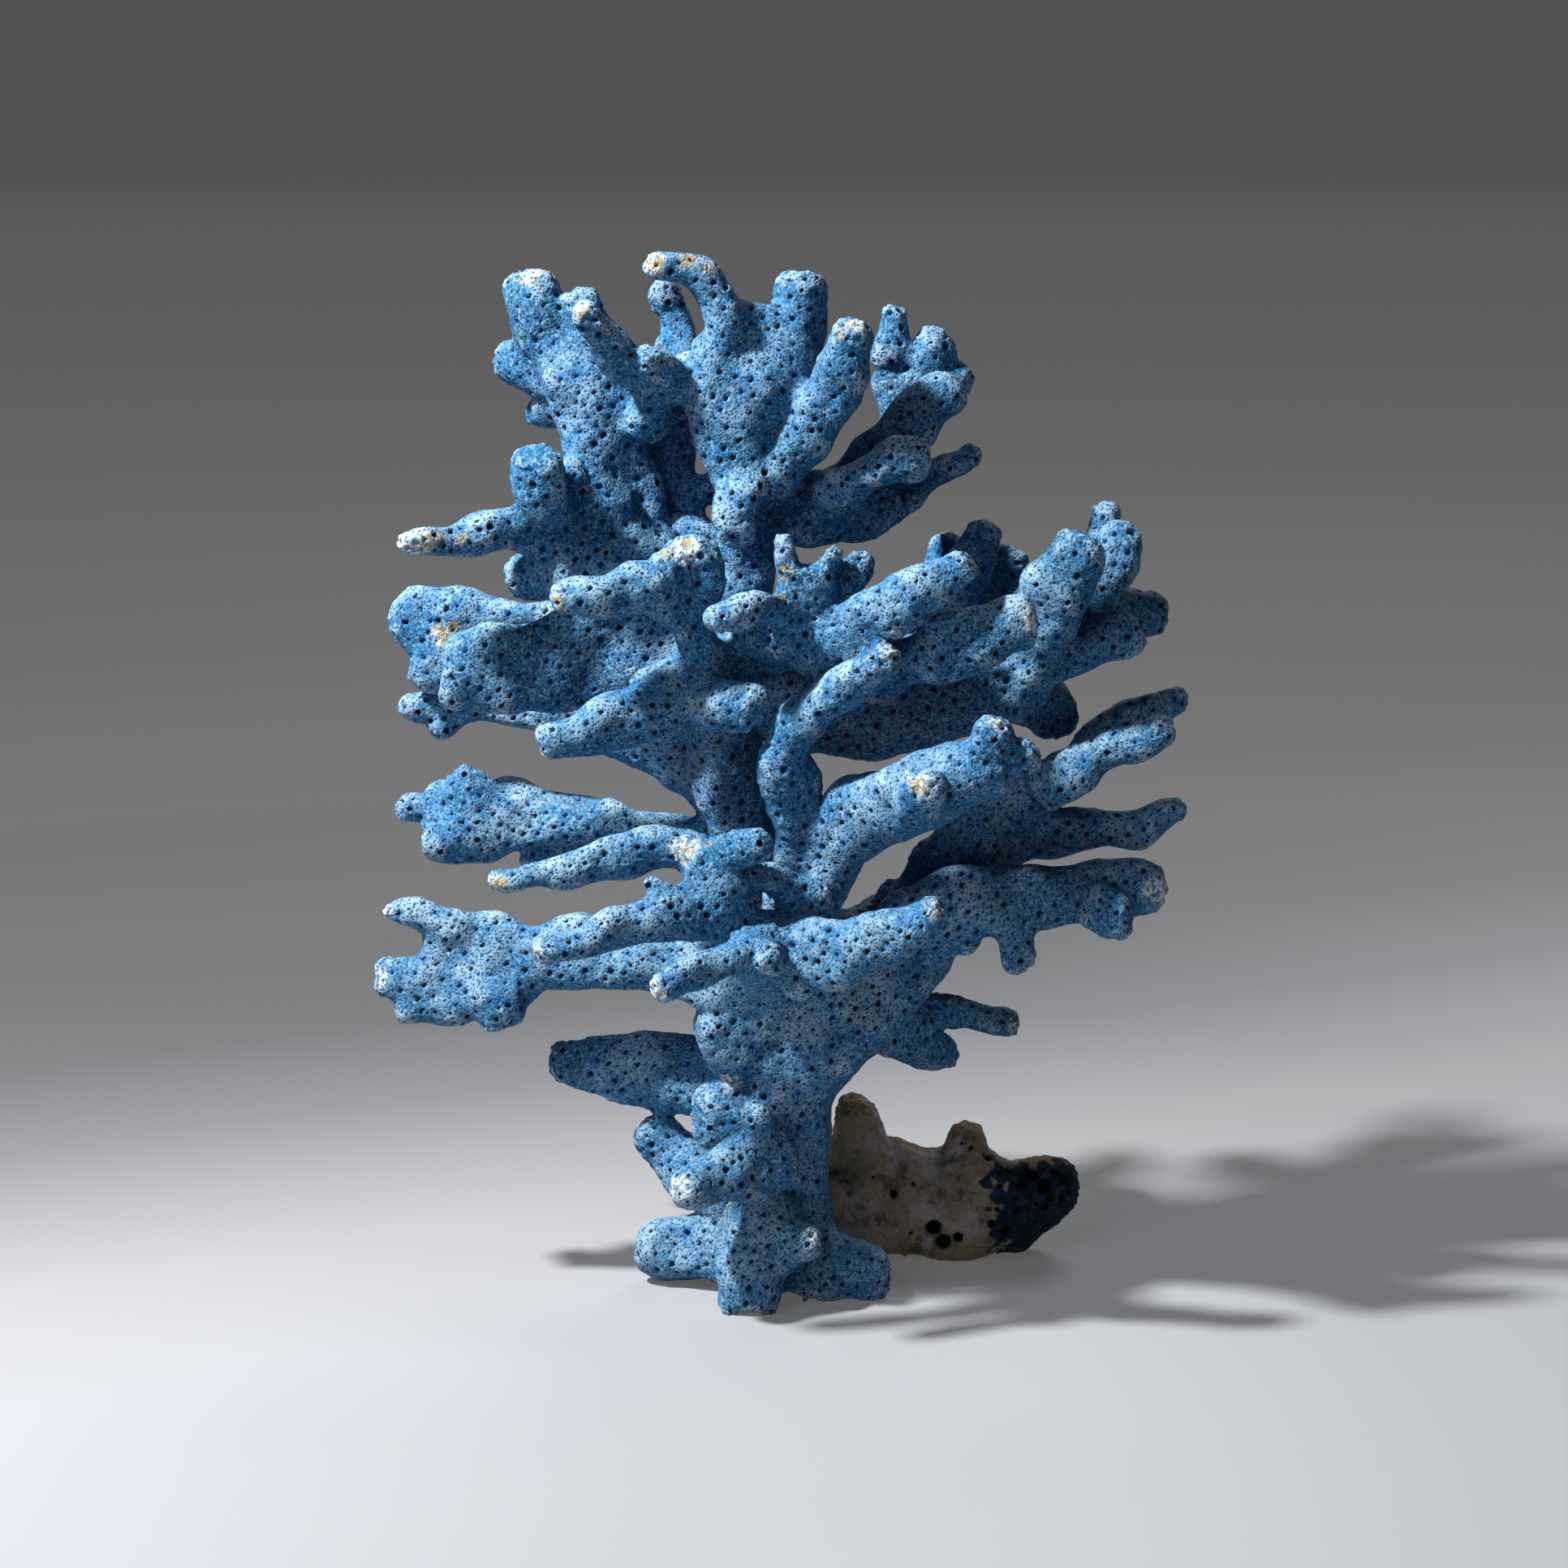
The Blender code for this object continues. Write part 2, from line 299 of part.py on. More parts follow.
# Node name, its limbs, its colour, and whether its foot is cut off flat at the floor
NODES = [
    ("trunk", TRUNK, DEEP_COLOUR, True),
    ("weathered_base", WEATHERED_BASE, WEATHERED_COLOUR, True),
    ("lower_left_branch", LOWER_LEFT_BRANCH, DEEP_COLOUR, False),
    ("lower_right_branch", LOWER_RIGHT_BRANCH, DEEP_COLOUR, False),
    ("central_stem", CENTRAL_STEM, DEEP_COLOUR, False),
    ("left_fan", LEFT_FAN, SKELETON_COLOUR, False),
    ("right_lower_fan", RIGHT_LOWER_FAN, SKELETON_COLOUR, False),
    ("front_cluster", FRONT_CLUSTER, SKELETON_COLOUR, False),
    ("centre_right_arm", CENTRE_RIGHT_ARM, SKELETON_COLOUR, False),
    ("right_upper_fan", RIGHT_UPPER_FAN, SKELETON_COLOUR, False),
    ("mid_left_fan", MID_LEFT_FAN, SKELETON_COLOUR, False),
    ("left_plates", LEFT_PLATES, SKELETON_COLOUR, False),
    ("right_plates", RIGHT_PLATES, SKELETON_COLOUR, False),
    ("front_left_fingers", FRONT_LEFT_FINGERS, SKELETON_COLOUR, False),
    ("front_centre_fingers", FRONT_CENTRE_FINGERS, SKELETON_COLOUR, False),
    ("upper_left_arm", UPPER_LEFT_ARM, SKELETON_COLOUR, False),
    ("centre_crown", CENTRE_CROWN, SKELETON_COLOUR, False),
    ("left_crown", LEFT_CROWN, SKELETON_COLOUR, False),
    ("right_crown", RIGHT_CROWN, SKELETON_COLOUR, False),
    ("back_lower_left_branch", BACK_LOWER_LEFT_BRANCH, SKELETON_COLOUR, False),
    ("back_lower_right_branch", BACK_LOWER_RIGHT_BRANCH, SKELETON_COLOUR, False),
    ("back_left_branch", BACK_LEFT_BRANCH, SKELETON_COLOUR, False),
    ("back_right_branch", BACK_RIGHT_BRANCH, SKELETON_COLOUR, False),
    ("back_crown_branch", BACK_CROWN_BRANCH, SKELETON_COLOUR, False),
]


def clear_scene():
    """Removes every object that the file opened with."""
    for obj in list(bpy.data.objects):
        bpy.data.objects.remove(obj, do_unlink=True)


def eye_place():
    """The eye: EYE_DISTANCE along the line of sight from the middle of the measuring plane."""
    sine, cosine = math.sin(EYE_TILT), math.cos(EYE_TILT)
    return np.array([EYE_ACROSS, EYE_UP * sine - EYE_DISTANCE * cosine, EYE_UP * cosine + EYE_DISTANCE * sine])


def seen(across, up, back):
    """The point at a distance back on the line of sight through (across, up), and that line's scale there."""
    sine, cosine = math.sin(EYE_TILT), math.cos(EYE_TILT)
    eye = eye_place()
    ray = np.stack([across - EYE_ACROSS, (up - EYE_UP) * sine + EYE_DISTANCE * cosine,
                    (up - EYE_UP) * cosine - EYE_DISTANCE * sine], axis=1)
    scale = (back - eye[1]) / ray[:, 1]
    point = eye + ray * scale[:, None]
    point[:, 0] -= FOOT_ACROSS
    point[:, 1] -= FOOT_BACK
    return point, scale


def smooth_stations(stations):
    """Catmull-Rom curve through the stations, all five numbers alike, a point about every STATION_STEP."""
    knots = np.array(stations, dtype=float)
    padded = np.vstack([2 * knots[0] - knots[1], knots, 2 * knots[-1] - knots[-2]])
    runs = []
    for i in range(len(knots) - 1):
        before, start, end, after = padded[i:i + 4]
        count = max(2, int(np.linalg.norm((end - start)[:3]) / STATION_STEP))
        t = (np.arange(count) / count)[:, None]
        runs.append(0.5 * (2 * start + (end - before) * t + (2 * before - 5 * start + 4 * end - after) * t ** 2
                           + (3 * start - before - 3 * end + after) * t ** 3))
    runs.append(knots[-1:])
    return np.vstack(runs)


def unit(vectors):
    return vectors / np.linalg.norm(vectors, axis=1, keepdims=True)


def limb_surface(stations):
    """A superellipse section carried along the path, closing to a blunt point at either end."""
    rows = smooth_stations(stations)
    path, scale = seen(rows[:, 0], rows[:, 1], rows[:, 2])
    width, thickness = rows[:, 3] * scale, rows[:, 4] * scale
    run = np.concatenate([[0.0], np.cumsum(np.linalg.norm(np.diff(path, axis=0), axis=1))])
    length = run[-1]
    cap = np.array([min(width[0], thickness[0]), min(width[-1], thickness[-1])]) * TIP_LENGTH
    ends = np.array([0.0, 0.04, 0.18, 0.45, 1.0])
    middle = np.linspace(cap[0], length - cap[1], max(3, int((length - cap.sum()) / STATION_STEP) + 1))
    place = np.concatenate([ends[:-1] * cap[0], middle, length - ends[-2::-1] * cap[1]])
    near = np.clip(np.minimum(place / cap[0], (length - place) / cap[1]), 0.0, 1.0)
    shrink = np.maximum((1 - (1 - near) ** TIP_SQUARENESS) ** (1 / TIP_SQUARENESS), 0.05)
    centre = np.stack([np.interp(place, run, path[:, k]) for k in range(3)], axis=1)
    half_width = np.interp(place, run, width) * shrink
    half_thickness = np.interp(place, run, thickness) * shrink
    along = unit(np.gradient(centre, place, axis=0))
    sight = unit(centre + np.array([FOOT_ACROSS, FOOT_BACK, 0.0]) - eye_place())
    side = unit(np.cross(sight, along))
    depth = np.cross(along, side)
    angle = np.linspace(0, 2 * math.pi, SECTION_SIDES, endpoint=False)
    power = 2 / SECTION_SQUARENESS
    cosine = np.sign(np.cos(angle)) * np.abs(np.cos(angle)) ** power
    sine = np.sign(np.sin(angle)) * np.abs(np.sin(angle)) ** power
    rings = (centre[:, None] + side[:, None] * (half_width[:, None] * cosine)[..., None]
             + depth[:, None] * (half_thickness[:, None] * sine)[..., None])
    count = len(place)
    faces = [[i * SECTION_SIDES + j, i * SECTION_SIDES + (j + 1) % SECTION_SIDES,
              (i + 1) * SECTION_SIDES + (j + 1) % SECTION_SIDES, (i + 1) * SECTION_SIDES + j]
             for i in range(count - 1) for j in range(SECTION_SIDES)]
    faces.append(list(range(SECTION_SIDES))[::-1])
    faces.append([(count - 1) * SECTION_SIDES + j for j in range(SECTION_SIDES)])
    return rings.reshape(-1, 3), faces


def lumps(points):
    """The height of the growth lumps: a seeded sum of LUMP_WAVES plane waves about LUMP_LENGTH long."""
    rng = np.random.default_rng(LUMP_SEED)
    heading = unit(rng.normal(size=(LUMP_WAVES, 3)))
    pitch = 2 * math.pi / (LUMP_LENGTH * rng.uniform(0.6, 1.5, LUMP_WAVES))
    phase = rng.uniform(0, 2 * math.pi, LUMP_WAVES)
    waves = np.sin(points @ (heading * pitch[:, None]).T + phase)
    return LUMP_HEIGHT * waves.sum(axis=1) / math.sqrt(LUMP_WAVES / 2)


def evaluated_mesh(obj, name):
    depsgraph = bpy.context.evaluated_depsgraph_get()
    return bpy.data.meshes.new_from_object(obj.evaluated_get(depsgraph), depsgraph=depsgraph).copy()


def add_object(name, mesh):
    obj = bpy.data.objects.new(name, mesh)
    bpy.context.scene.collection.objects.link(obj)
    return obj


def apply_modifiers(obj):
    """Turns the object's mesh into what its modifiers make of it, and takes them off."""
    mesh = evaluated_mesh(obj, obj.name)
    obj.modifiers.clear()
    obj.data = mesh


def keep_largest_body(mesh):
    """Deletes loose bodies and sealed hollows: every shell but the one with the most vertices."""
    bm = bmesh.new()
    bm.from_mesh(mesh)
    bm.verts.ensure_lookup_table()
    shell = [-1] * len(bm.verts)
    sizes = []
    for start in bm.verts:
        if shell[start.index] >= 0:
            continue
        stack, size = [start], 0
        shell[start.index] = len(sizes)
        while stack:
            vert = stack.pop()
            size += 1
            for edge in vert.link_edges:
                other = edge.other_vert(vert)
                if shell[other.index] < 0:
                    shell[other.index] = len(sizes)
                    stack.append(other)
        sizes.append(size)
    largest = sizes.index(max(sizes))
    bmesh.ops.delete(bm, geom=[v for v in bm.verts if shell[v.index] != largest], context="VERTS")
    bm.to_mesh(mesh)
    bm.free()


def mesh_arrays(mesh):
    points = np.empty(len(mesh.vertices) * 3)
    mesh.vertices.foreach_get("co", points)
    normals = np.empty(len(mesh.vertices) * 3)
    mesh.vertices.foreach_get("normal", normals)
    return points.reshape(-1, 3), normals.reshape(-1, 3)


def move_along_normals(mesh, distance):
    points, normals = mesh_arrays(mesh)
    mesh.vertices.foreach_set("co", (points + normals * distance).ravel())
    mesh.update()


def reskin(obj, rounds):
    """One closed skin round everything in the object, in cells of GROW_VOXEL, smoothed a few rounds."""
    remesh = obj.modifiers.new("grow", "REMESH")
    remesh.mode = "VOXEL"
    remesh.voxel_size = GROW_VOXEL * MM
    smooth = obj.modifiers.new("round", "SMOOTH")
    smooth.factor = 0.5
    smooth.iterations = rounds
    apply_modifiers(obj)


def grow_together(name, limbs):
    """Joins the limbs, which overlap, in one lumpy skin."""
    points, faces = [], []
    for stations in limbs:
        ring_points, ring_faces = limb_surface(stations)
        start = sum(len(p) for p in points)
        points.append(ring_points)
        faces.extend([[start + index for index in face] for face in ring_faces])
    mesh = bpy.data.meshes.new(name)
    mesh.from_pydata((np.vstack(points) * MM).tolist(), [], faces)
    bm = bmesh.new()
    bm.from_mesh(mesh)
    bmesh.ops.recalc_face_normals(bm, faces=bm.faces)
    bm.to_mesh(mesh)
    bm.free()
    obj = add_object(name, mesh)
    reskin(obj, SMOOTH_ROUNDS)
    keep_largest_body(obj.data)
    skin, _ = mesh_arrays(obj.data)
    move_along_normals(obj.data, (lumps(skin / MM) * MM)[:, None])
    reskin(obj, SMOOTH_AGAIN)
    keep_largest_body(obj.data)
    return obj


def cut_foot(mesh):
    """Cuts the foot off flat at the floor and closes the cut."""
    bm = bmesh.new()
    bm.from_mesh(mesh)
    bmesh.ops.bisect_plane(bm, geom=bm.verts[:] + bm.edges[:] + bm.faces[:], dist=1e-7, plane_co=(0, 0, 0),
                           plane_no=(0, 0, 1), clear_inner=True)
    bmesh.ops.holes_fill(bm, edges=[e for e in bm.edges if e.is_boundary], sides=0)
    for vert in bm.verts:
        if abs(vert.co.z) < 1e-6:
            vert.co.z = 0.0
    bmesh.ops.triangulate(bm, faces=bm.faces)
    bm.to_mesh(mesh)
    bm.free()


def thin_to_facets(obj):
    """Collapses the fine skin to facets of FACET_AREA square millimetres on average."""
    area = sum(face.area for face in obj.data.polygons) / MM ** 2
    triangles = sum(len(face.vertices) - 2 for face in obj.data.polygons)
    decimate = obj.modifiers.new("facets", "DECIMATE")
    decimate.ratio = min(1.0, area / FACET_AREA / triangles)
    decimate.use_collapse_triangulate = True
    apply_modifiers(obj)


def boxes_meet(a, b):
    pa, _ = mesh_arrays(a.data)
    pb, _ = mesh_arrays(b.data)
    return bool(np.all(pa.min(axis=0) < pb.max(axis=0)) and np.all(pb.min(axis=0) < pa.max(axis=0)))


def cut_by(obj, carrier):
    """Takes away what would lie inside the carrier or within GAP of it."""
    cutter = add_object("cutter", carrier.data.copy())
    move_along_normals(cutter.data, GAP * MM)
    cut = obj.modifiers.new("cut", "BOOLEAN")
    cut.operation = "DIFFERENCE"
    cut.object = cutter
    apply_modifiers(obj)
    bpy.data.objects.remove(cutter, do_unlink=True)
    keep_largest_body(obj.data)


def material(name, colour):
    mat = bpy.data.materials.new(name)
    mat.use_nodes = True
    shader = mat.node_tree.nodes["Principled BSDF"]
    shader.inputs["Base Color"].default_value = (*colour, 1.0)
    shader.inputs["Roughness"].default_value = 0.85
    shader.inputs["Metallic"].default_value = 0.0
    return mat


def build():
    clear_scene()
    made = []
    for name, limbs, colour, has_foot in NODES:
        obj = grow_together(name, limbs)
        thin_to_facets(obj)
        for carrier in made:
            if boxes_meet(obj, carrier):
                cut_by(obj, carrier)
        thin_to_facets(obj)
        if has_foot:
            cut_foot(obj.data)
        obj.data.materials.clear()
        obj.data.materials.append(material(name + "_skin", colour))
        obj.data.name = name
        made.append(obj)


build()
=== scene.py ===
"""Looks of the blue ridge coral skeleton, on a pale studio floor.

The skin is one closed surface grown round every limb of the colony.  A limb is a rounded section carried
along a smooth path, written as stations from its root to its tip, as in the part's own source: each station
is (across, up, back, half width, half thickness) in millimetres, across and up as the camera sees them on the
upright plane through the front of the foot, and back the plain distance behind that front.  The skin gets the
colony's lumps, its large and fine pores and the holes of the old branch, and is then parted into one piece
for each CAD node.  A surface parameterised on a grid can't follow a branching skin, so the limbs, which are
such grids, are fused by a voxel remesh.
"""
import math

import bmesh
import bpy
import numpy as np
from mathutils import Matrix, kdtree


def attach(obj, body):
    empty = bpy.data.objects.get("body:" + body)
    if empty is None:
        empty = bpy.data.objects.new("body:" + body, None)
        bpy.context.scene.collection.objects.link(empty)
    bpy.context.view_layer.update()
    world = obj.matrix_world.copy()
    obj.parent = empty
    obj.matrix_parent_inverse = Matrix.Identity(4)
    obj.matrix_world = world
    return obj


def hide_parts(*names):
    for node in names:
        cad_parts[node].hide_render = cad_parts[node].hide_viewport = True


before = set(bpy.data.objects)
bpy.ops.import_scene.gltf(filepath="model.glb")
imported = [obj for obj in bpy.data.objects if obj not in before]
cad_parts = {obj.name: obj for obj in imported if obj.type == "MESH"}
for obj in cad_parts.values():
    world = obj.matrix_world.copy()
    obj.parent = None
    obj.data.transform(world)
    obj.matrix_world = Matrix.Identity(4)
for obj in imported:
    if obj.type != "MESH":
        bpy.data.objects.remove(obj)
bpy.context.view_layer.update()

MM = 0.001

# The photograph's point of view, which the stations are measured from, and its frame on the measuring plane
EYE_DISTANCE = 671.0
EYE_TILT = math.radians(10.0)
EYE_SINE = math.sin(EYE_TILT)
EYE_COSINE = math.cos(EYE_TILT)
EYE_ACROSS = -2.25
EYE_UP = 80.25
EYE = np.array([EYE_ACROSS, EYE_UP * EYE_SINE - EYE_DISTANCE * EYE_COSINE,
                EYE_UP * EYE_COSINE + EYE_DISTANCE * EYE_SINE])
PHOTO_WIDTH = 241.5
SENSOR_WIDTH = 36.0

# The middle of the trunk's flat foot, (across, back, up), which is the origin of the part
FOOT = np.array([-2.0, 7.0, 0.0])

# The limbs' own grids: sides of a section, step along a path, squareness of sections and of tips, length of
# a tip as a share of its half width or thickness, whichever is less, where its rings lie along it, and the
# least share of the section that is left at its end
SECTION_SIDES = 14
STATION_STEP = 2.0
SECTION_SQUARENESS = 2.5
TIP_SQUARENESS = 2.8
TIP_LENGTH = 0.8
TIP_RINGS = (0.0, 0.04, 0.18, 0.45, 1.0)
TIP_LEAST = 0.05

# The skin: cell size, and how many rounds its forks are eased
SKIN_CELL = 0.45
FORK_ROUNDS = 18

# Its reliefs, each (wave length, height, number of waves, seed) in millimetres: the growth lumps of the
# part's source, knobbles everywhere, and crumble, whose height is given apart for broken tips and for the
# crust.  The foot stays calm up to FOOT_CALM, and what lies below FLOOR_TOUCH is the flat cut itself.
LUMPS = (11.0, 0.45, 24, 7)
KNOBBLES = (3.4, 0.07, 30, 11)
CRUMBLE = (1.7, 1.0, 40, 12)
CRUMBLE_HEIGHT = 0.13
CRUST_HEIGHT = 0.05
FOOT_CALM = 0.6
FLOOR_TOUCH = 1e-3

# The shortest and longest wave of a relief, as shares of its wave length
WAVE_SPREAD = (0.6, 1.5)

# A limb ends in the open when its last half width is at most OPEN_END.  From there the crumble of a broken
# tip reaches TIP_REACH or TIP_WIDTHS half widths, whichever is more, and the young azure growth likewise.
OPEN_END = 5.0
TIP_REACH = 2.5
TIP_WIDTHS = 1.3
YOUNG_REACH = 5.0
YOUNG_WIDTHS = 2.0

# Large pores, where the polyps sat: spacing and radius in millimetres, depth in radii, and the width of the
# clear blue halo round them.  Narrow pores and faint halos are commoner, by the powers PORE_SKEW and
# HALO_SKEW.  The skin's points first wander along it by WANDER, and a pore takes only those that face its
# way, by more than SAME_SIDE.
PORE_SEED = 21
PORE_SPACING = (1.3, 2.4)
PORE_RADIUS = (0.27, 0.66)
PORE_SKEW = 1.2
PORE_DEPTH = 1.9
HALO_WIDTH = 0.9
HALO_SKEW = 1.5
WANDER = 0.05
SAME_SIDE = 0.2

# The rim of a pore only a few cells wide: how far off the next point of the skin is, the ring of points that
# is moved and the radius that such a pore stays under, both in those steps, and how far the ring gives way
NEXT_CELL = 0.35
RIM_RING = (0.7, 2.2)
RIM_PORE = 2
RIM_GIVE = 0.3

# Fine pores between them: the cells of the net, which is only drawn, and dimples that are sunk, clear of the
# large pores by SPECK_CLEAR
NET_CELL = 0.47
SPECK_SPACING = 1.05
SPECK_DEPTH = 0.07
SPECK_CLEAR = 0.3
SPECK_STRENGTH = (0.75, 1.0)

# Holes in the old branch, bored or never overgrown: (across, up, radius) as the camera sees them, and in
# radii their depth and how far round them points may move
CRUST_HOLES = [
    (15.0, 17.5, 0.75), (17.5, 10.9, 0.45), (26.0, 23.9, 0.65), (29.2, 23.3, 0.75), (21.3, 11.5, 1.5),
    (21.8, 9.4, 1.5), (24.6, 9.8, 1.0), (12.0, 20.0, 0.4), (18.2, 18.6, 0.5), (24.6, 25.0, 0.35),
    (36.0, 21.2, 1.5), (35.2, 18.9, 1.0), (37.7, 18.6, 1.3), (41.3, 19.6, 0.9), (42.3, 17.3, 0.6),
    (38.9, 16.6, 0.8), (41.2, 16.3, 0.85), (32.5, 21.6, 0.9), (31.0, 20.7, 0.6), (34.2, 16.5, 0.5),
    (35.9, 16.8, 0.45), (36.4, 15.2, 0.45), (34.3, 14.2, 0.75), (32.5, 11.0, 1.1), (31.9, 9.2, 0.5),
    (33.2, 18.3, 0.65), (31.4, 18.4, 0.5), (30.2, 15.0, 0.6), (38.6, 14.9, 0.8), (36.6, 12.4, 0.6),
    (29.8, 12.4, 0.8), (32.2, 14.2, 0.5), (39.6, 20.8, 0.7), (34.2, 20.2, 0.55),
]
HOLE_DEPTH = 1.6
HOLE_REACH = 1.3

# Where dried sediment sits on the skin: (across, up, reach) in millimetres, as the camera sees them
SEDIMENT = [
    (-33.8, 153.3, 1.8), (-22.5, 160.8, 2.0), (-17.0, 161.4, 2.0), (-13.5, 160.0, 1.4), (6.3, 150.2, 1.8),
    (-55.5, 117.6, 2.0), (-51.5, 118.6, 1.6), (-37.6, 108.4, 2.0), (-20.5, 116.4, 1.8), (-17.0, 117.6, 1.4),
    (-2.6, 112.4, 1.9), (-2.5, 109.4, 1.5), (-55.6, 103.2, 2.2), (-53.5, 104.2, 1.4), (-46.5, 65.6, 1.7),
    (-17.5, 70.4, 2.2), (-13.8, 71.4, 1.0), (19.0, 80.9, 2.0), (-7.0, 17.0, 1.0),
]

# Painted shade: deeper blue spots where shadows fall on the colony, (across, up, reach) in millimetres
SHADE_SPOTS = [
    (-42.0, 98.0, 10.0), (-30.0, 97.0, 9.0), (-41.0, 151.0, 8.0), (-33.0, 122.0, 7.0), (27.0, 102.0, 6.0),
    (24.5, 92.0, 9.0), (-9.0, 80.0, 8.0), (37.0, 62.0, 9.0), (-37.0, 40.0, 9.0), (-5.0, 36.5, 4.0),
    (8.0, 116.0, 6.0), (-60.0, 24.0, 6.0), (38.0, 45.0, 6.0), (12.0, 141.0, 6.0), (-3.0, 122.0, 5.0),
]

# Where a broken end shows fresh white crystal
FRESH_BREAKS = [
    (-22.8, 48.0, 2.6), (-40.4, 53.6, 1.9), (-19.0, 17.6, 2.6), (-40.6, 84.8, 2.0), (-47.8, 65.2, 1.9),
    (-60.0, 117.0, 4.0), (55.6, 63.7, 2.8), (-17.5, 116.6, 2.6), (-23.0, 160.9, 2.4), (22.0, 61.0, 1.6),
    (-10.5, 34.0, 2.0), (3.0, 10.3, 1.5), (-41.8, 159.0, 2.0), (-34.2, 154.4, 1.8), (9.2, 151.6, 2.0),
    (36.0, 105.6, 2.0), (-17.8, 70.6, 2.8), (19.0, 81.2, 2.4), (-55.3, 102.8, 2.0), (-64.0, 60.7, 1.6),
    (-65.0, 50.2, 2.0), (33.5, 43.3, 1.4), (14.0, 101.0, 1.6), (30.8, 90.4, 1.8),
    (31.8, 8.4, 0.9), (30.2, 8.3, 0.7),
]

# Each such place goes on the foremost skin that is seen within SPOT_MISS of it: SPOT_WEIGHTS weigh a further
# miss against the depth.  Its mark is full up to MARK_CORE of its reach and gone at SPOT_SOFTNESS times it,
# and the mark of a limb's end at END_SOFTNESS times its own.
SPOT_MISS = 0.5
SPOT_WEIGHTS = (5, 0.05)
MARK_CORE = 0.3
SPOT_SOFTNESS = 1.4
END_SOFTNESS = 1.6

# Where the old branch is bare: past this line across and under this height, within a ragged edge whose
# relief is (wave length, height, number of waves, seed), and the rounds that ease the border of the crust
BARED_FROM = 29.2
BARED_TOP = 22.9
BARED_EDGE = 1.6
RAGGED = (3.0, BARED_EDGE, 20, PORE_SEED)
CRUST_EASING = 3

# Valleys of the skin, painted with shade, and its ridges, painted lighter: rounds of easing that measure
# them, and the depth that counts as a full one
VALLEY_ROUNDS = 30
VALLEY_DEPTH = 0.35

# Parting the skin: how far borders are eased, how often islands and pinches are looked for, the least patch
# that a node keeps, and how deep a seam is tucked in
BORDER_ROUNDS = 4
BORDER_PASSES = 12
ISLAND_FACES = 400
SEAM_DEPTH = 0.5

# The border of these pieces bends round a fork, so the middle of its fan is set here, inside the fork
SEAM_MIDDLES = {"left_plates_skin": (-11.1, -3.2, 99.0)}

# Painted light: the side that faces the lamps, up and to the front left, is painted paler, eased over that
# many rounds, and painted shade by height takes the paleness down towards the crown, which is nearer the key
# lamp
PAINTED_LIGHT_SIDE = (-0.42, -0.62, 0.66)
PAINTED_LIGHT_ROUNDS = 8
PAINTED_SHADE_BY_HEIGHT = [(0.0, -0.30), (45.0, -0.16), (75.0, 0.0), (105.0, 0.10), (150.0, 0.36)]

# The studio, in metres: lamps are (name, place, diameter, watts, colour); the camera sees what is within CLIP
LAMP_TARGET = (0.0, 0.0, 0.08)
LAMPS = [
    ("key_lamp", (-0.285, -0.13, 0.45), 0.04, 7.1, "#FFFDF8"),
    ("front_lamp", (-0.42, -0.74, 0.60), 0.50, 1.7, "#F0F6FF"),
    ("back_lamp", (0.30, 0.85, 0.75), 0.45, 5.0, "#FBFBFA"),
]
AIR_COLOUR = "#10161D"
AIR_STRENGTH = 1.0
CLIP = (0.02, 50.0)

# The paper: flat to FLOOR_RADIUS and then swept up, in metres
FLOOR_RADIUS = 5.0
SWEEP_RADIUS = 2.0
FLOOR_RINGS = 30
SWEEP_RINGS = 8
FLOOR_SIDES = 96

# Its colour, painted darker with distance towards the back left where the lamps' lit patch ends, and the
# faint light that it glows with though it is no lamp, painted light, by distance from the middle
FLOOR_LIT_SIDE = (-0.5, 0.866, 0.0)
FLOOR_PAINTED_SHADES = [(0.0, "#8B8E95"), (0.06, "#87888D"), (0.10, "#777980"), (0.14, "#62646A"),
                (0.20, "#4A4C50"), (0.27, "#3D3E41"), (0.40, "#2D2E30")]
FLOOR_PAINTED_GLOWS = [(0.20, "#535251"), (0.30, "#666665"), (0.45, "#6D6D6D"), (0.70, "#676766"),
               (1.2, "#646463"), (2.0, "#5D5D5D"), (3.5, "#5A5A5A"), (5.0, "#515151")]

# Each CAD node and the limbs that its piece of skin grows round
NODE_LIMBS = {}

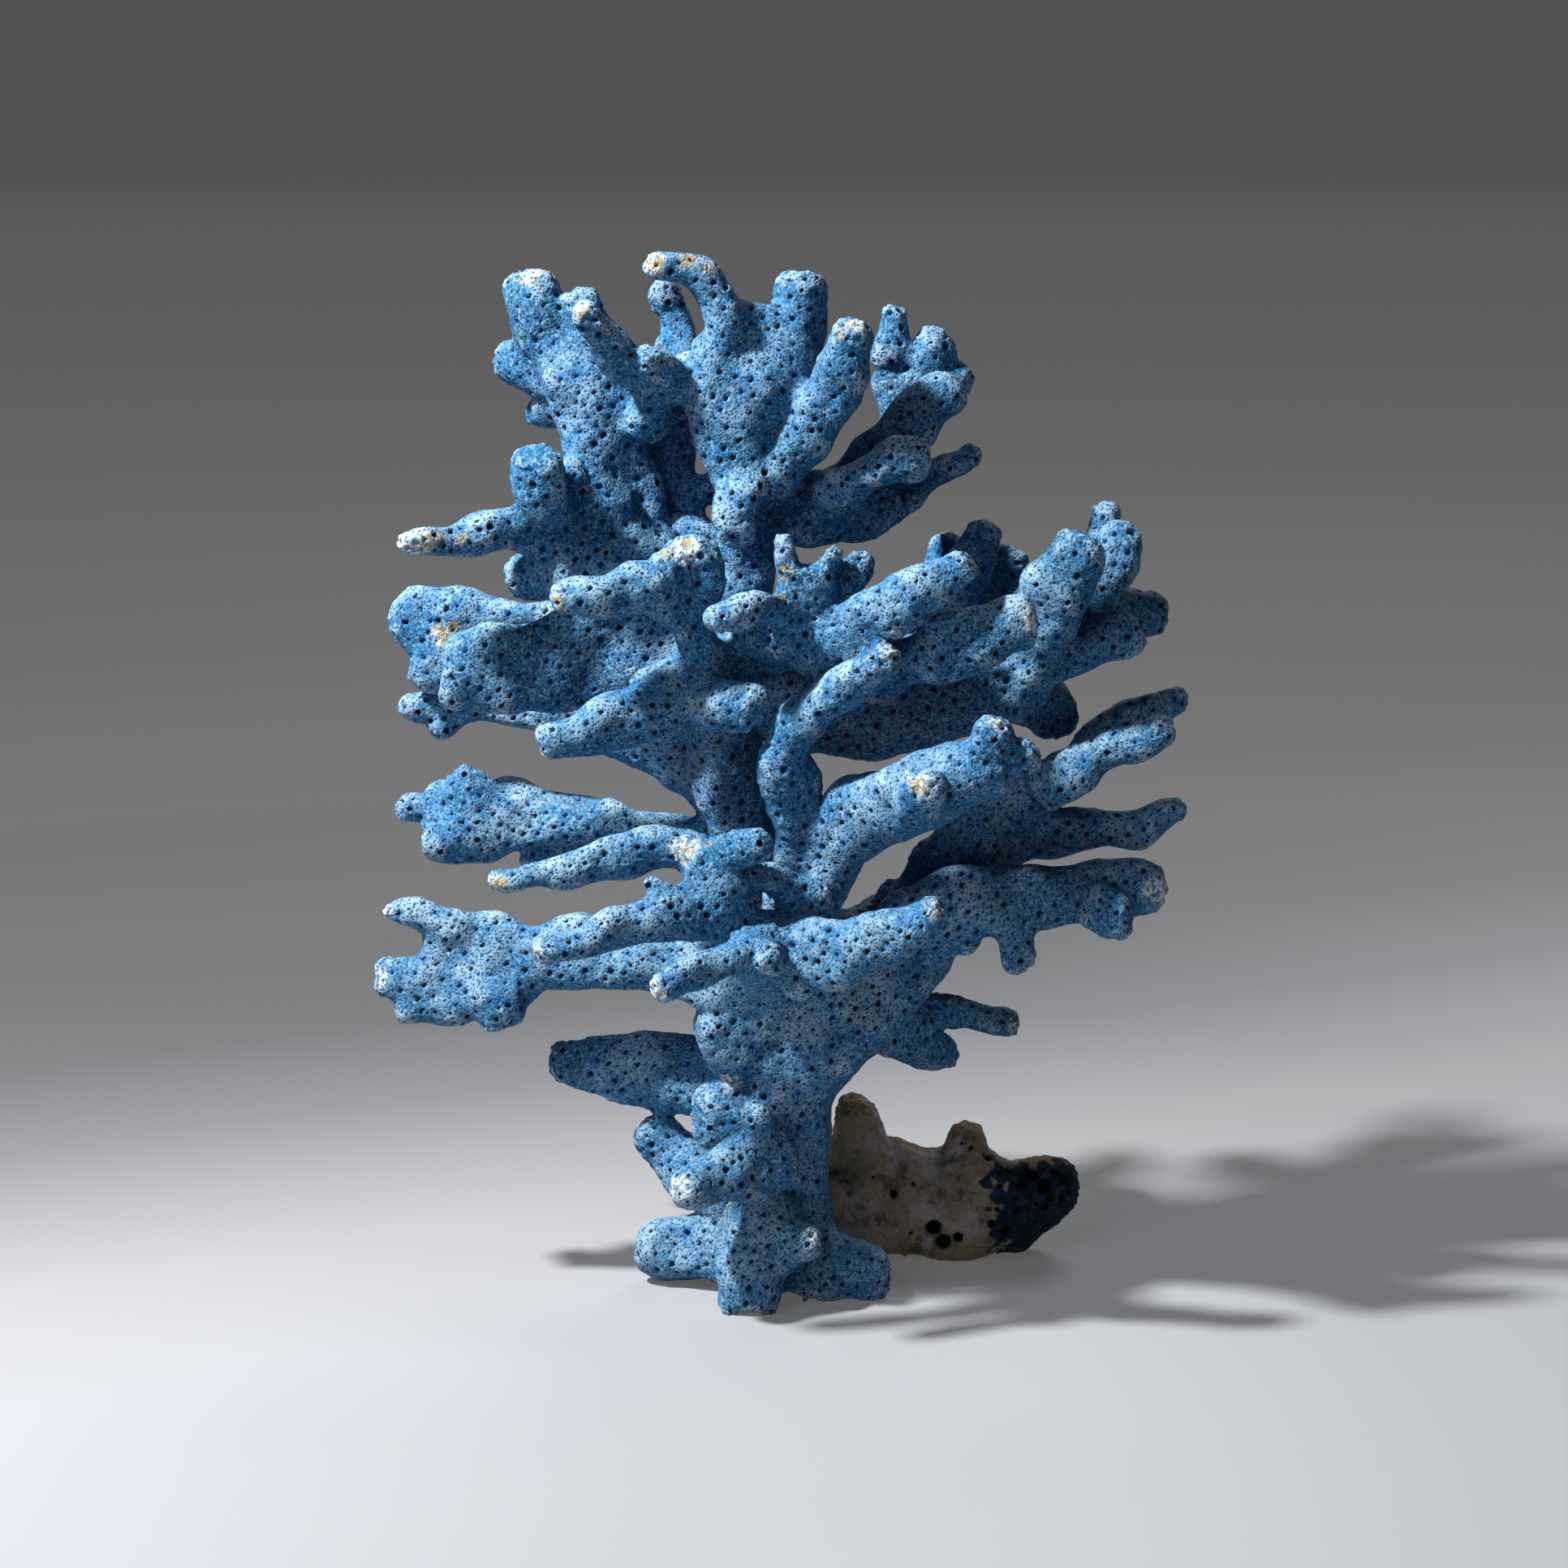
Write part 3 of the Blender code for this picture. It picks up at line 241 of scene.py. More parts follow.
# The trunk: column, the two shoulders that carry the fans, and the lobes of the foot
NODE_LIMBS["trunk"] = [
    [(-2, -6, 8, 9, 8), (-2, 0, 8, 9, 8), (-1.5, 10, 9, 7.5, 7.5), (-1.5, 19, 9, 6.3, 6.5),
     (-2, 27, 9, 7, 7), (-2.5, 34, 8, 9, 7.5), (-1.5, 40, 8, 12, 8), (0, 46, 7, 15, 8), (1, 52, 6, 14, 7.5),
     (-1.5, 60, 6, 7.5, 6)],
    [(-1, 36, 6, 6.5, 6), (5.8, 43, 5, 7, 6), (13, 48.5, 5, 6.6, 5.5), (19, 54, 6, 5, 4.5),
     (21, 62, 8, 3.5, 4), (21, 67, 10, 3.5, 3.5)],
    [(-3, 34, 6, 7, 6), (-9, 41, 5, 6.5, 6), (-13, 47, 4, 5.5, 5)],
    [(-4, 17, 4, 6, 5), (-5.5, 10, 0, 7, 5), (-7.8, 4.5, -2, 5.7, 5), (-7.2, -4, -2, 4.2, 4)],
    [(-5, 10, -2, 4, 3), (3, 10.2, -3, 2.2, 2.5)],
    [(-4, 28, 4, 6, 5), (-16, 29, 3, 5, 4.5)],
    [(1, 10, 6, 5.5, 5.5), (6, 6, 6, 5.3, 5.5), (13.7, 5.0, 6, 5, 5.5)],
    [(-6, 9, 9, 5, 6), (-15, 8.6, 12, 5.2, 5.5), (-20, 9, 14, 4.5, 5), (-24.3, 9.4, 15, 3, 3.6)],
    [(-8, 16, 10, 5, 4.5), (-15, 20, 13, 4.7, 4), (-20, 24, 15, 4.4, 3.6), (-24, 28.3, 16, 3.8, 3)],
    [(-2, 24, 0, 6, 5), (-8, 21.5, -5, 5.6, 4), (-13, 19.3, -9, 4.2, 3.4), (-19, 18, -13, 2.7, 2.8)],
    [(-5, 24, -4, 3, 3), (-7, 31, -8, 2.1, 2.3)],
]

# The old branch behind the foot, dead long before the rest and overgrown with crust
NODE_LIMBS["weathered_base"] = [
    [(4, 17, 24, 7, 6), (11, 17, 27, 8.6, 7), (19, 15.6, 29, 8.4, 7), (27, 16, 30, 8.6, 7),
     (33, 15.3, 30, 7.6, 6), (38.5, 17.6, 30, 5.4, 5), (43.4, 18.2, 30, 3.2, 4)],
    [(9, 20, 26, 4.5, 4.5), (9.2, 32.5, 27, 3.9, 4.2)],
    [(25.5, 19, 30, 4.5, 4.5), (26.3, 28.2, 30, 2.4, 3)],
    [(0, 14, 16, 5, 5), (5, 16, 24, 6, 6)],
]

NODE_LIMBS["lower_left_branch"] = [
    [(-8, 33.5, 12, 6, 5), (-17, 35.5, 15, 6.5, 4.5), (-25, 36.6, 17, 6.2, 4.2), (-31, 37.2, 18, 4.6, 3.6),
     (-38.7, 37.8, 19, 3.6, 3)],
    [(-34.5, 37, 18, 2, 2.4), (-35, 41.3, 18, 1.6, 2)],
]

NODE_LIMBS["lower_right_branch"] = [
    [(8, 46, 12, 5, 5), (15, 45, 18, 4.5, 4), (20, 45, 22, 3.6, 3.4)],
    [(19, 46, 21, 3, 3), (26, 44.8, 24, 2.4, 2.6), (34.3, 43.3, 26, 2.3, 2.4)],
    [(12, 42.5, 16, 4.5, 4), (16, 41.5, 19, 3.8, 3.2), (19, 40.2, 22, 3, 2.9), (24.7, 38, 24, 2.2, 2.4)],
]

# The stem above the shoulders, and the limb that bends out behind it to the left
NODE_LIMBS["central_stem"] = [
    [(-3, 52, 7, 7, 6), (-5, 58, 8, 6, 6), (-8, 68, 9, 5.3, 5.5), (-9, 76, 8, 5.3, 5.5),
     (-11, 84, 7, 5.8, 5.5), (-12, 92, 6, 6, 5.5), (-11, 100, 6, 6.5, 5.5), (-8.5, 108, 6, 5, 5),
     (-7.5, 114, 6, 4, 4.5), (-8, 119, 6, 4, 4.5)],
    [(-9, 74, 12, 5, 4.5), (-14, 82, 14, 5, 4.5), (-21, 85.6, 17, 5, 4), (-27.5, 87.2, 18, 3.2, 3)],
]

NODE_LIMBS["left_fan"] = [
    [(-4, 50, 4, 9, 6), (-14, 51.8, 5, 6.5, 5), (-23, 53.3, 7, 5.3, 4), (-32, 54.2, 8, 5.7, 3.6),
     (-40, 53.8, 9, 6, 3.5), (-47, 52.5, 10, 8.3, 3.4), (-58.5, 52, 11, 8, 3.2)],
    [(-50, 57, 10, 3.5, 3), (-56, 59.4, 11, 2.5, 2.6), (-64.7, 60.7, 12, 1.8, 2)],
    [(-54, 51, 10, 4.5, 3), (-65.8, 50.2, 11, 3.5, 2.8)],
    [(-50, 48, 9, 4, 3), (-56, 46, 9, 2.8, 2.6), (-62.2, 45, 9, 1.8, 2.2)],
    [(-47, 50, 7, 4.5, 3.2), (-45, 41.9, 6, 3.4, 3)],
]

NODE_LIMBS["right_lower_fan"] = [
    [(12, 56, 4, 5, 4.5), (20, 60.5, 4, 5.5, 4), (28, 62, 4, 6, 3.8), (37, 62.8, 4, 5.2, 3.5),
     (46, 63.8, 4, 5, 3.3), (51.5, 64.1, 4, 4.6, 3), (56.4, 63.7, 4, 3, 2.8)],
    [(32, 60, 4, 4, 3.4), (33.2, 56, 3, 3.4, 3), (33, 50.8, 3, 1.8, 2)],
    [(34.5, 56, 3, 1.8, 2), (35.7, 52.8, 3, 1.3, 1.5)],
    [(44, 62, 0, 4, 3), (51.5, 58.6, -3, 3.4, 3)],
    [(26, 58, 4, 3, 3), (25.8, 54, 4, 2.5, 2.5)],
    [(15, 60, 14, 3, 3), (15, 65.5, 18, 2.8, 2.8)],
]

NODE_LIMBS["front_cluster"] = [
    [(-2, 50, -2, 7, 6), (-5, 55, -12, 5.5, 5), (-9, 58, -16, 5, 4.5)],
    [(-9, 57, -15, 5, 4.5), (-13, 62, -16, 5, 4), (-14, 68, -16, 4.5, 3.8), (-13, 72, -16, 3.5, 3.5)],
    [(-13, 69.5, -15, 3.2, 3.2), (-20, 70.2, -14, 3.2, 3), (-26.5, 69.7, -14, 3.7, 3.2),
     (-33, 67.5, -14, 3, 2.9), (-40, 66.4, -15, 2.4, 2.4), (-48.2, 65.3, -16, 1.8, 2)],
    [(-14, 70, -16, 3, 3), (-4.1, 71, -19, 3.1, 3)],
    [(-17, 61, -18, 2.6, 2.6), (-24, 66.2, -20, 1.8, 2)],
    [(-12, 60.5, -15, 4, 3.5), (-20, 60, -20, 3.9, 3.4), (-27, 58, -23, 3.5, 3.2), (-33, 56, -25, 3, 3),
     (-40.8, 53.9, -27, 2.7, 2.8)],
    [(-3, 56.5, -16, 3.2, 3.2), (-9, 54.3, -22, 2.9, 3), (-15, 51.5, -26, 2.9, 2.9),
     (-22.8, 48.4, -30, 2.8, 2.8)],
    [(-8, 56, -18, 2.8, 2.8), (-2.3, 52.6, -25, 2.7, 2.7)],
    [(-5, 54, -12, 5, 4.5), (2, 54.5, -17, 5.2, 4), (9, 55, -21, 5, 3.8), (15, 57, -24, 4.2, 3.5),
     (22.8, 61.2, -26, 3.4, 3.2)],
    [(0, 51, -17, 2.5, 2.5), (-0.5, 47.5, -19, 1.8, 2)],
    [(4, 58, -6, 4, 3.5), (0.5, 62.5, -10, 3.8, 2.6), (-4, 65.8, -12, 2.9, 2), (-9.1, 64.9, -14, 1.6, 1.6)],
]

NODE_LIMBS["centre_right_arm"] = [
    [(0, 56, 2, 6, 6), (0.5, 68, -2, 5.2, 5), (0, 74, -4, 4, 4.5), (-1, 80, -7, 4, 4)],
    [(0, 78, -6, 4.5, 4.5), (-2.3, 84.5, -8, 4.2, 4.2), (0.5, 90, -10, 3.8, 3.8), (6, 94.5, -13, 3.5, 3.5),
     (14.3, 100.5, -16, 2.8, 2.8)],
    [(0.3, 62, 0, 5.5, 5), (5, 70, -4.4, 5.8, 5), (11, 75.7, -10, 6, 4.8), (18, 78.5, -16, 6.3, 4.5),
     (25, 81.5, -19, 5.2, 4.2), (33, 84, -21, 4.5, 3.8)],
    [(28, 82, -20, 4, 3.6), (30.6, 90.8, -22, 2.9, 2.9)],
    [(31, 83, -20, 3.2, 3), (37.1, 85.2, -20, 2.7, 2.7)],
    [(18, 75, -17, 4, 4), (18.7, 78, -22, 3.6, 3.4), (19, 81.5, -26, 3.3, 3)],
]

NODE_LIMBS["right_upper_fan"] = [
    [(16, 60, 8, 4.5, 4.5), (20.5, 66.5, 10, 3.8, 4), (26, 71.5, 12, 6, 3.8), (32, 75, 13, 7.8, 3.6),
     (38, 78, 13, 6.8, 3.5)],
    [(36, 79.5, 17, 3.5, 3.3), (43, 84, 19, 3, 3), (50, 90, 21, 2.7, 2.8), (60.2, 93.5, 23, 2.5, 2.5)],
    [(36, 78, 10, 4.2, 3.3), (42, 81.5, 9, 3.9, 3.2), (48, 85.5, 8, 3.4, 3), (58, 89, 7, 3.2, 2.8)],
    [(34, 73, 13, 4.5, 3.4), (42, 73.2, 13, 3.6, 3.2), (50, 73.5, 13, 3.6, 3), (60.1, 76.8, 13, 2, 2.2)],
]

NODE_LIMBS["mid_left_fan"] = [
    [(-6, 70, 10, 4, 4), (-14, 72, 13, 2.8, 3.4), (-21, 73.4, 15, 2.5, 3.2), (-28, 74.2, 16, 2.8, 3.2),
     (-36, 74.4, 17, 3.6, 3.2), (-44, 74, 18, 5, 3.2), (-50, 74.2, 19, 6.3, 3), (-57.8, 75, 20, 6, 2.8)],
    [(-54, 76.3, 19, 2, 2.3), (-62, 76.4, 20, 1.8, 2)],
    [(-48, 77, 18, 4, 2.8), (-54, 82, 18, 3.6, 2.5)],
    [(-48, 72.8, 17, 3.8, 3), (-57.8, 72.4, 18, 2.9, 2.6)],
    [(-25, 74.5, 20, 1.8, 3), (-34, 76.6, 23, 1.6, 3), (-47.2, 80.2, 26, 1.6, 3)],
    [(-30, 70.5, 20, 1.6, 3), (-43, 68.8, 22, 1.5, 3)],
    [(-14, 66, 14, 2.5, 2.5), (-28.6, 62, 22, 2, 2)],
]

NODE_LIMBS["left_plates"] = [
    [(-12, 98, 4, 7, 4), (-20, 101, 3, 8, 3.8), (-30, 101, 2, 8, 3.5), (-38, 98.8, 1, 7.8, 3.2),
     (-46, 98.2, 0, 6.7, 3.2), (-55.5, 98.4, -1, 6, 3)],
    [(-22, 104, 8, 3, 3), (-28, 106, 14, 3, 3), (-40, 106.2, 16, 2, 2.6), (-47, 106, 17, 3, 2.8),
     (-53, 105.5, 18, 5.6, 3), (-58, 104.3, 19, 6, 3), (-61.9, 102.6, 19, 4.4, 2.8)],
    [(-54, 101, 18, 5, 3), (-58.8, 96, 18, 3, 2.6)],
    [(-14, 93, 10, 4, 4), (-25, 88, 18, 5, 4), (-36, 90.5, 19, 3, 3), (-48, 91, 20, 2, 2.6),
     (-55, 92, 21, 2.6, 2.6), (-61.7, 92.3, 22, 2, 2.2)],
    [(-50, 90.5, 20, 1.8, 2.2), (-57, 88.1, 20, 1.6, 2)],
]

NODE_LIMBS["right_plates"] = [
    [(-6, 92, 6, 7, 5), (2, 92.5, 6, 8.5, 5), (12, 92.8, 6, 9, 4.5), (22, 94.5, 7, 8.5, 4.5),
     (31, 96.5, 9, 7.8, 4.5), (38, 100, 11, 6, 4)],
    [(1, 99.5, -3, 3.5, 3.5), (7, 104, -10, 4, 3.3), (13, 107.5, -13, 4, 3), (19, 110.3, -14, 3.7, 2.8),
     (26.2, 114.7, -15, 2.7, 2.7)],
    [(3, 98, -6, 2, 2.2), (10, 103.2, -12, 1.8, 2), (19.7, 106.5, -14, 1.6, 2)],
    [(10, 97, 0, 4, 4), (17, 99.5, -7, 4.3, 3.4), (23, 101.5, -11, 6, 3.2), (29, 103.7, -12, 5, 3.2),
     (37, 105, -13, 5.2, 3.2)],
    [(32, 98, 6, 6, 4), (40, 100.8, 8, 4.5, 3.6), (46, 102.5, 9, 3.8, 3.4), (52.6, 104, 10, 3.3, 3)],
    [(30, 96, 12, 4.5, 4), (34, 95, 18, 4.5, 4), (41, 89.4, 26, 4.6, 4.2)],
    [(34, 100, 14, 4, 3.5), (40, 103, 22, 3.5, 3.5), (47, 106, 26, 3.2, 3.2), (56.9, 106.3, 30, 3.8, 3.5)],
    [(35, 101, 6, 5, 4), (38, 106.5, 3, 5.5, 3.8), (41, 111.5, 1, 5.6, 3.5), (43, 115.5, 0, 4.4, 3.2),
     (44, 119.6, 0, 3.2, 2.8)],
    [(38, 103, 10, 3.5, 3.5), (43, 107, 14, 3.5, 3.5), (47.5, 112.5, 16, 3.5, 3.2),
     (51, 119.8, 18, 3, 2.8)],
    [(42, 107, 16, 3, 3), (46, 113, 22, 3, 3), (47, 123.9, 26, 2.8, 2.8)],
    [(18, 97, 10, 4, 4), (20, 101, 14, 4, 4), (25, 109, 16, 3.5, 3.5), (29, 120.8, 18, 3.2, 3.2)],
    [(18, 98, 14, 4, 4), (20, 104, 26, 3, 3.2), (21.6, 110, 29, 2.8, 3), (23.7, 118.6, 32, 2.6, 2.8)],
    [(18, 104, 26, 3, 3), (26, 107, 28, 3.2, 3.2), (33.5, 116, 32, 3.2, 3)],
]

NODE_LIMBS["front_left_fingers"] = [
    [(-11, 97, 3, 4, 4), (-15, 101, -6, 3.3, 3.3), (-17, 104, -9, 3, 3)],
    [(-16.5, 103, -9, 2.8, 3), (-20.5, 108, -11, 3, 3), (-25, 110.6, -13, 3.5, 3.2),
     (-30, 109.2, -14, 2.9, 2.9), (-38.4, 108.2, -16, 2.6, 2.6)],
    [(-15.8, 103, -8, 2.8, 3), (-16.3, 108, -9, 4.5, 3.2), (-17, 112.5, -10, 5.6, 3.2),
     (-18, 116.9, -11, 4.8, 3)],
    [(-11, 94, 0, 5, 5), (-18, 94, -5, 4.5, 4), (-24, 90.5, -7, 4.6, 4), (-30, 89.2, -8, 4.2, 3.8),
     (-36, 87.3, -10, 3.7, 3.4), (-40.5, 85.6, -11, 2.9, 2.8)],
    [(-15, 101, -5, 2.2, 2.5), (-19, 98, -5, 2.5, 2.5), (-25, 94.5, -6, 2, 2.5)],
    [(-16, 93.5, -5, 4, 3.5), (-11, 92, -8, 3.9, 3.5), (-5.4, 91, -10, 3.3, 3)],
]

NODE_LIMBS["front_centre_fingers"] = [
    [(-9, 100, 2, 5, 5), (-3, 104.5, -5, 4, 4), (3, 105.5, -6, 4, 4)],
    [(1, 107, -7, 3, 3), (-5, 107, -12, 3, 3), (-14.4, 105.6, -17, 2.1, 2.2)],
    [(0, 105, -7, 5, 3.2), (1, 111, -8, 5, 3), (1.5, 114, -8, 4.6, 2.6)],
    [(-1.5, 112, -8, 2, 2.2), (-2.4, 119.3, -9, 1.6, 1.8)],
    [(3, 112, -8, 2.5, 2.4), (6.3, 116.8, -8, 1.9, 2.2)],
    [(3, 103.5, -6, 3, 3), (6.5, 109, -5, 2.6, 2.8), (10.6, 116.5, -4, 2.3, 2.5)],
    [(-6, 100, 0, 4, 4), (2.5, 101, -3, 2.6, 3)],
]

NODE_LIMBS["upper_left_arm"] = [
    [(-12, 103, 6, 6, 5), (-20, 108, 4, 8, 4.5), (-28, 113, 3, 9, 4.5), (-35, 119, 3, 9, 4.5),
     (-40, 122, 3, 6.5, 4)],
    [(-37, 120, 0, 5, 4), (-40, 126, -4, 4.2, 4), (-41, 132.2, -7, 4.2, 4)],
    [(-38, 119, 2, 5, 4), (-45, 119.3, -2, 4, 3.6), (-51, 118.2, -5, 3.2, 3.2), (-57, 117.3, -8, 2.7, 2.6),
     (-62.6, 117, -10, 1.8, 2)],
    [(-26, 122, 3, 4, 4), (-31, 125, 2, 3.5, 3.5), (-37, 128.5, 1, 3, 3.5)],
    [(-36, 114, 5, 5, 4), (-44.8, 111, 5, 3.2, 3.5)],
]

NODE_LIMBS["centre_crown"] = [
    [(-8, 115, 5, 3.8, 4), (-8.5, 123, 2, 4, 4), (-9.5, 129, 0, 5, 4), (-10.5, 135, -1, 6.8, 4),
     (-9.5, 141, -1, 8.8, 4), (-6.5, 147, 1, 9.5, 4), (-5, 153.8, 3, 7, 3.5)],
    [(-8, 128, -2, 3.5, 3.5), (-9.3, 123, -3, 3.6, 3.6), (-9.8, 116.3, -3, 3, 3)],
    [(-10.5, 142, 0, 4, 3.5), (-11.3, 148, -1, 3.3, 3.3), (-11.9, 153, -1, 3.5, 3.3),
     (-14.2, 157.7, -1, 3.3, 3), (-18.5, 160, -2, 2.6, 2.6), (-23.9, 160.8, -3, 1.9, 2)],
    [(-2, 145, 4, 5, 4.5), (0.4, 151, 5, 4.6, 4.5), (0.9, 159.4, 6, 4.5, 4.5)],
    [(-5, 125, 2, 5, 4.2), (-3, 128, 0, 4.5, 4), (0.5, 133.5, 0, 3.9, 3.9), (4.5, 139, -3, 4.3, 4),
     (7.2, 144, -6, 3.7, 3.7), (9.2, 151.7, -9, 3.4, 3.4)],
    [(-12, 140, 1, 4, 3.5), (-17, 141, 1, 3, 3), (-20, 143.5, -2, 2.8, 2.6), (-24.8, 146.2, -7, 2.5, 2.3)],
    [(-13, 140, 6, 4, 4), (-16, 142, 11, 3.6, 3.6), (-17, 143, 16, 3, 3), (-17.7, 148, 19, 2.6, 2.6),
     (-19.2, 152, 20, 2.4, 2.5), (-20.6, 155, 20, 2.1, 2.3), (-22.9, 154.2, 20, 1.8, 2)],
    [(-20, 153.5, 20, 1.8, 2), (-20.5, 157.3, 20, 1.5, 1.8)],
    [(-17.5, 149, 19, 1.8, 2), (-22.2, 147.7, 20, 1.5, 1.8)],
]

NODE_LIMBS["left_crown"] = [
    [(-10, 110, 8, 4, 4), (-18, 114, 8, 4, 4), (-24, 118, 8, 5, 4), (-26.5, 124, 8, 5.5, 4),
     (-29.5, 131, 7, 7, 4), (-31, 138, 7, 8, 4), (-33, 145, 8, 7.5, 4), (-36, 150, 10, 6, 3.5)],
    [(-34, 145, 9, 5, 4), (-38.4, 150, 11, 5.6, 4.5), (-41, 154, 12, 5.4, 4.5), (-41.8, 159.8, 13, 4.2, 4)],
    [(-36, 143, 10, 4.5, 3.5), (-41, 144.8, 13, 4, 3.5), (-47, 146, 15, 3.2, 3)],
    [(-34, 138, 12, 3, 3), (-42, 137, 20, 2.4, 2.5)],
    [(-24, 141, 8, 3, 3), (-28, 147, 8, 3, 3), (-32, 152, 8, 3.2, 3), (-34.5, 156.2, 8, 2.6, 3)],
    [(-24, 134, 5, 4, 4), (-22.5, 139, 1, 3.2, 3.2), (-25, 142, -1, 2.9, 2.9), (-28.5, 146, -4, 2.8, 2.8),
     (-31.5, 150, -7, 2.7, 2.7), (-34, 154.2, -9, 2.5, 2.5)],
    [(-12, 116, 8, 3.6, 3.5), (-21, 118.5, 10, 3.8, 3.5), (-29.4, 117, 12, 3.3, 3)],
    [(-15, 117, 10, 4, 3.5), (-18, 121, 13, 4, 3.5), (-20, 129, 14, 4.3, 3.5), (-20.5, 139, 14, 4.2, 3.5)],
    [(-19, 123, 12, 3, 3), (-12, 127, 12, 2.4, 2.5)],
]

NODE_LIMBS["right_crown"] = [
    [(-7, 121, 6, 4.5, 4), (0, 122.6, 6, 5.8, 4), (7, 122.8, 7, 5.6, 3.5), (15, 123.2, 10, 3.4, 3)],
    [(4, 125, 8, 4, 3.6), (7, 126, 10, 3.5, 3.5), (12, 131, 12, 3.6, 3.5), (17, 135.5, 14, 4.3, 3.5),
     (21, 139, 15, 4, 3.5), (24.5, 142, 16, 3, 3)],
    [(8, 123, 12, 4, 3.6), (14.5, 127, 22, 4, 3.5), (16.5, 133, 26, 3.8, 3.4), (16.7, 139, 28, 5.2, 3.5),
     (17, 144, 28, 6.3, 3.5)],
    [(14, 144, 28, 3.4, 3.3), (14.2, 154.7, 29, 2.5, 2.6)],
    [(19, 143, 28, 3.8, 3.4), (22.7, 149.3, 29, 3.2, 3.2)],
    [(20, 141, 28, 4, 3.4), (26.5, 142.8, 30, 3, 3)],
    [(3, 122.5, 3, 4.5, 3.5), (9, 127, 1, 3.4, 3.3), (14, 130, 0, 3.2, 3.2), (20.2, 131, 0, 3.3, 3)],
    [(6, 119, 8, 2.8, 3), (14.5, 121.8, 12, 2.4, 3), (20, 127, 14, 2.6, 2.7), (27.6, 132.2, 16, 2.3, 2.5)],
]

# The branches of the hidden side, which the front view covers
NODE_LIMBS["back_lower_left_branch"] = [
    [(-6, 50, 10, 6, 5), (-12, 51.5, 22, 4.8, 4.5), (-20, 52.5, 33, 4.2, 4), (-27, 53.5, 44, 3.4, 3.2)],
    [(-15, 52, 26, 3.6, 3.6), (-12, 53.5, 38, 3.2, 3.2), (-9, 55, 47, 2.8, 2.8)],
    [(-22, 53, 34, 3.2, 3), (-34, 53, 39, 3.2, 2.8), (-43, 52.5, 42, 2.6, 2.4)],
]

NODE_LIMBS["back_lower_right_branch"] = [
    [(6, 54, 10, 6, 5), (14, 59, 20, 4.8, 4.2), (22, 62, 30, 4, 3.8), (31, 63, 41, 3.4, 3.2)],
    [(16, 60, 24, 3.5, 3.4), (15, 60.5, 36, 3.4, 3.2), (13, 61, 46, 2.8, 2.8)],
    [(24, 62, 32, 3.2, 3), (36, 63, 34, 3, 2.8), (46, 64, 36, 2.6, 2.4)],
]

NODE_LIMBS["back_left_branch"] = [
    [(-12, 95, 9, 5.5, 5), (-19, 99, 21, 4.8, 4.2), (-28, 101, 32, 4.4, 4), (-36, 100, 42, 3.4, 3.2)],
    [(-22, 100, 25, 3.5, 3.4), (-19, 101, 37, 3.4, 3.2), (-17, 103, 47, 2.8, 2.8)],
    [(-30, 101, 33, 3.2, 3), (-40, 99, 35, 3, 2.8), (-49, 98, 37, 2.6, 2.4)],
]

NODE_LIMBS["back_right_branch"] = [
    [(2, 95, 9, 5.5, 5), (8, 97, 22, 4.8, 4.4), (15, 98, 34, 4.6, 4), (23, 98, 46, 3.4, 3.2)],
    [(10, 98, 26, 3.6, 3.4), (5, 98, 38, 3.4, 3.2), (0, 98, 48, 2.8, 2.8)],
    [(16, 99, 36, 3.4, 3.2), (14, 105, 44, 3, 2.8), (12, 108, 52, 2.4, 2.4)],
]

NODE_LIMBS["back_crown_branch"] = [
    [(-9, 122, 9, 4.4, 4), (-8, 129, 19, 4.2, 4), (-8, 137, 28, 4.6, 3.8), (-7, 146, 35, 3.4, 3.2)],
    [(-8, 134, 25, 3.4, 3.2), (-11, 141, 36, 3, 2.8), (-12, 147, 44, 2.4, 2.4)],
    [(-8, 130, 21, 3.4, 3.2), (-2, 138, 27, 3, 2.8), (0, 145, 31, 2.6, 2.4)],
]

NAMES = list(NODE_LIMBS)
CRUST = "weathered_base"


def seen(across, up, back):
    """The point at a distance back on the line of sight through (across, up), and that line's scale there."""
    ray = np.stack([across - EYE_ACROSS, (up - EYE_UP) * EYE_SINE + EYE_DISTANCE * EYE_COSINE,
                    (up - EYE_UP) * EYE_COSINE - EYE_DISTANCE * EYE_SINE], axis=1)
    scale = (back - EYE[1]) / ray[:, 1]
    return EYE + ray * scale[:, None] - FOOT, scale


def as_seen(points):
    """Across and up of each point as the camera sees it, and its depth along the line of sight."""
    ray = points + FOOT - EYE
    depth = ray @ np.array([0.0, EYE_COSINE, -EYE_SINE])
    across = EYE_ACROSS + EYE_DISTANCE * ray[:, 0] / depth
    up = EYE_UP + EYE_DISTANCE * (ray @ np.array([0.0, EYE_SINE, EYE_COSINE])) / depth
    return across, up, depth


def unit(vectors):
    """The vectors at length one."""
    return vectors / np.maximum(np.linalg.norm(vectors, axis=1, keepdims=True), 1e-9)


def smooth_stations(stations):
    """Catmull-Rom curve through the stations, all five numbers alike, a point about every STATION_STEP."""
    knots = np.array(stations, dtype=float)
    padded = np.vstack([2 * knots[0] - knots[1], knots, 2 * knots[-1] - knots[-2]])
    runs = []
    for i in range(len(knots) - 1):
        before, start, end, after = padded[i:i + 4]
        count = max(2, int(np.linalg.norm((end - start)[:3]) / STATION_STEP))
        t = (np.arange(count) / count)[:, None]
        bend = 2 * before - 5 * start + 4 * end - after
        twist = 3 * start - before - 3 * end + after
        runs.append(0.5 * (2 * start + (end - before) * t + bend * t ** 2 + twist * t ** 3))
    runs.append(knots[-1:])
    return np.vstack(runs)


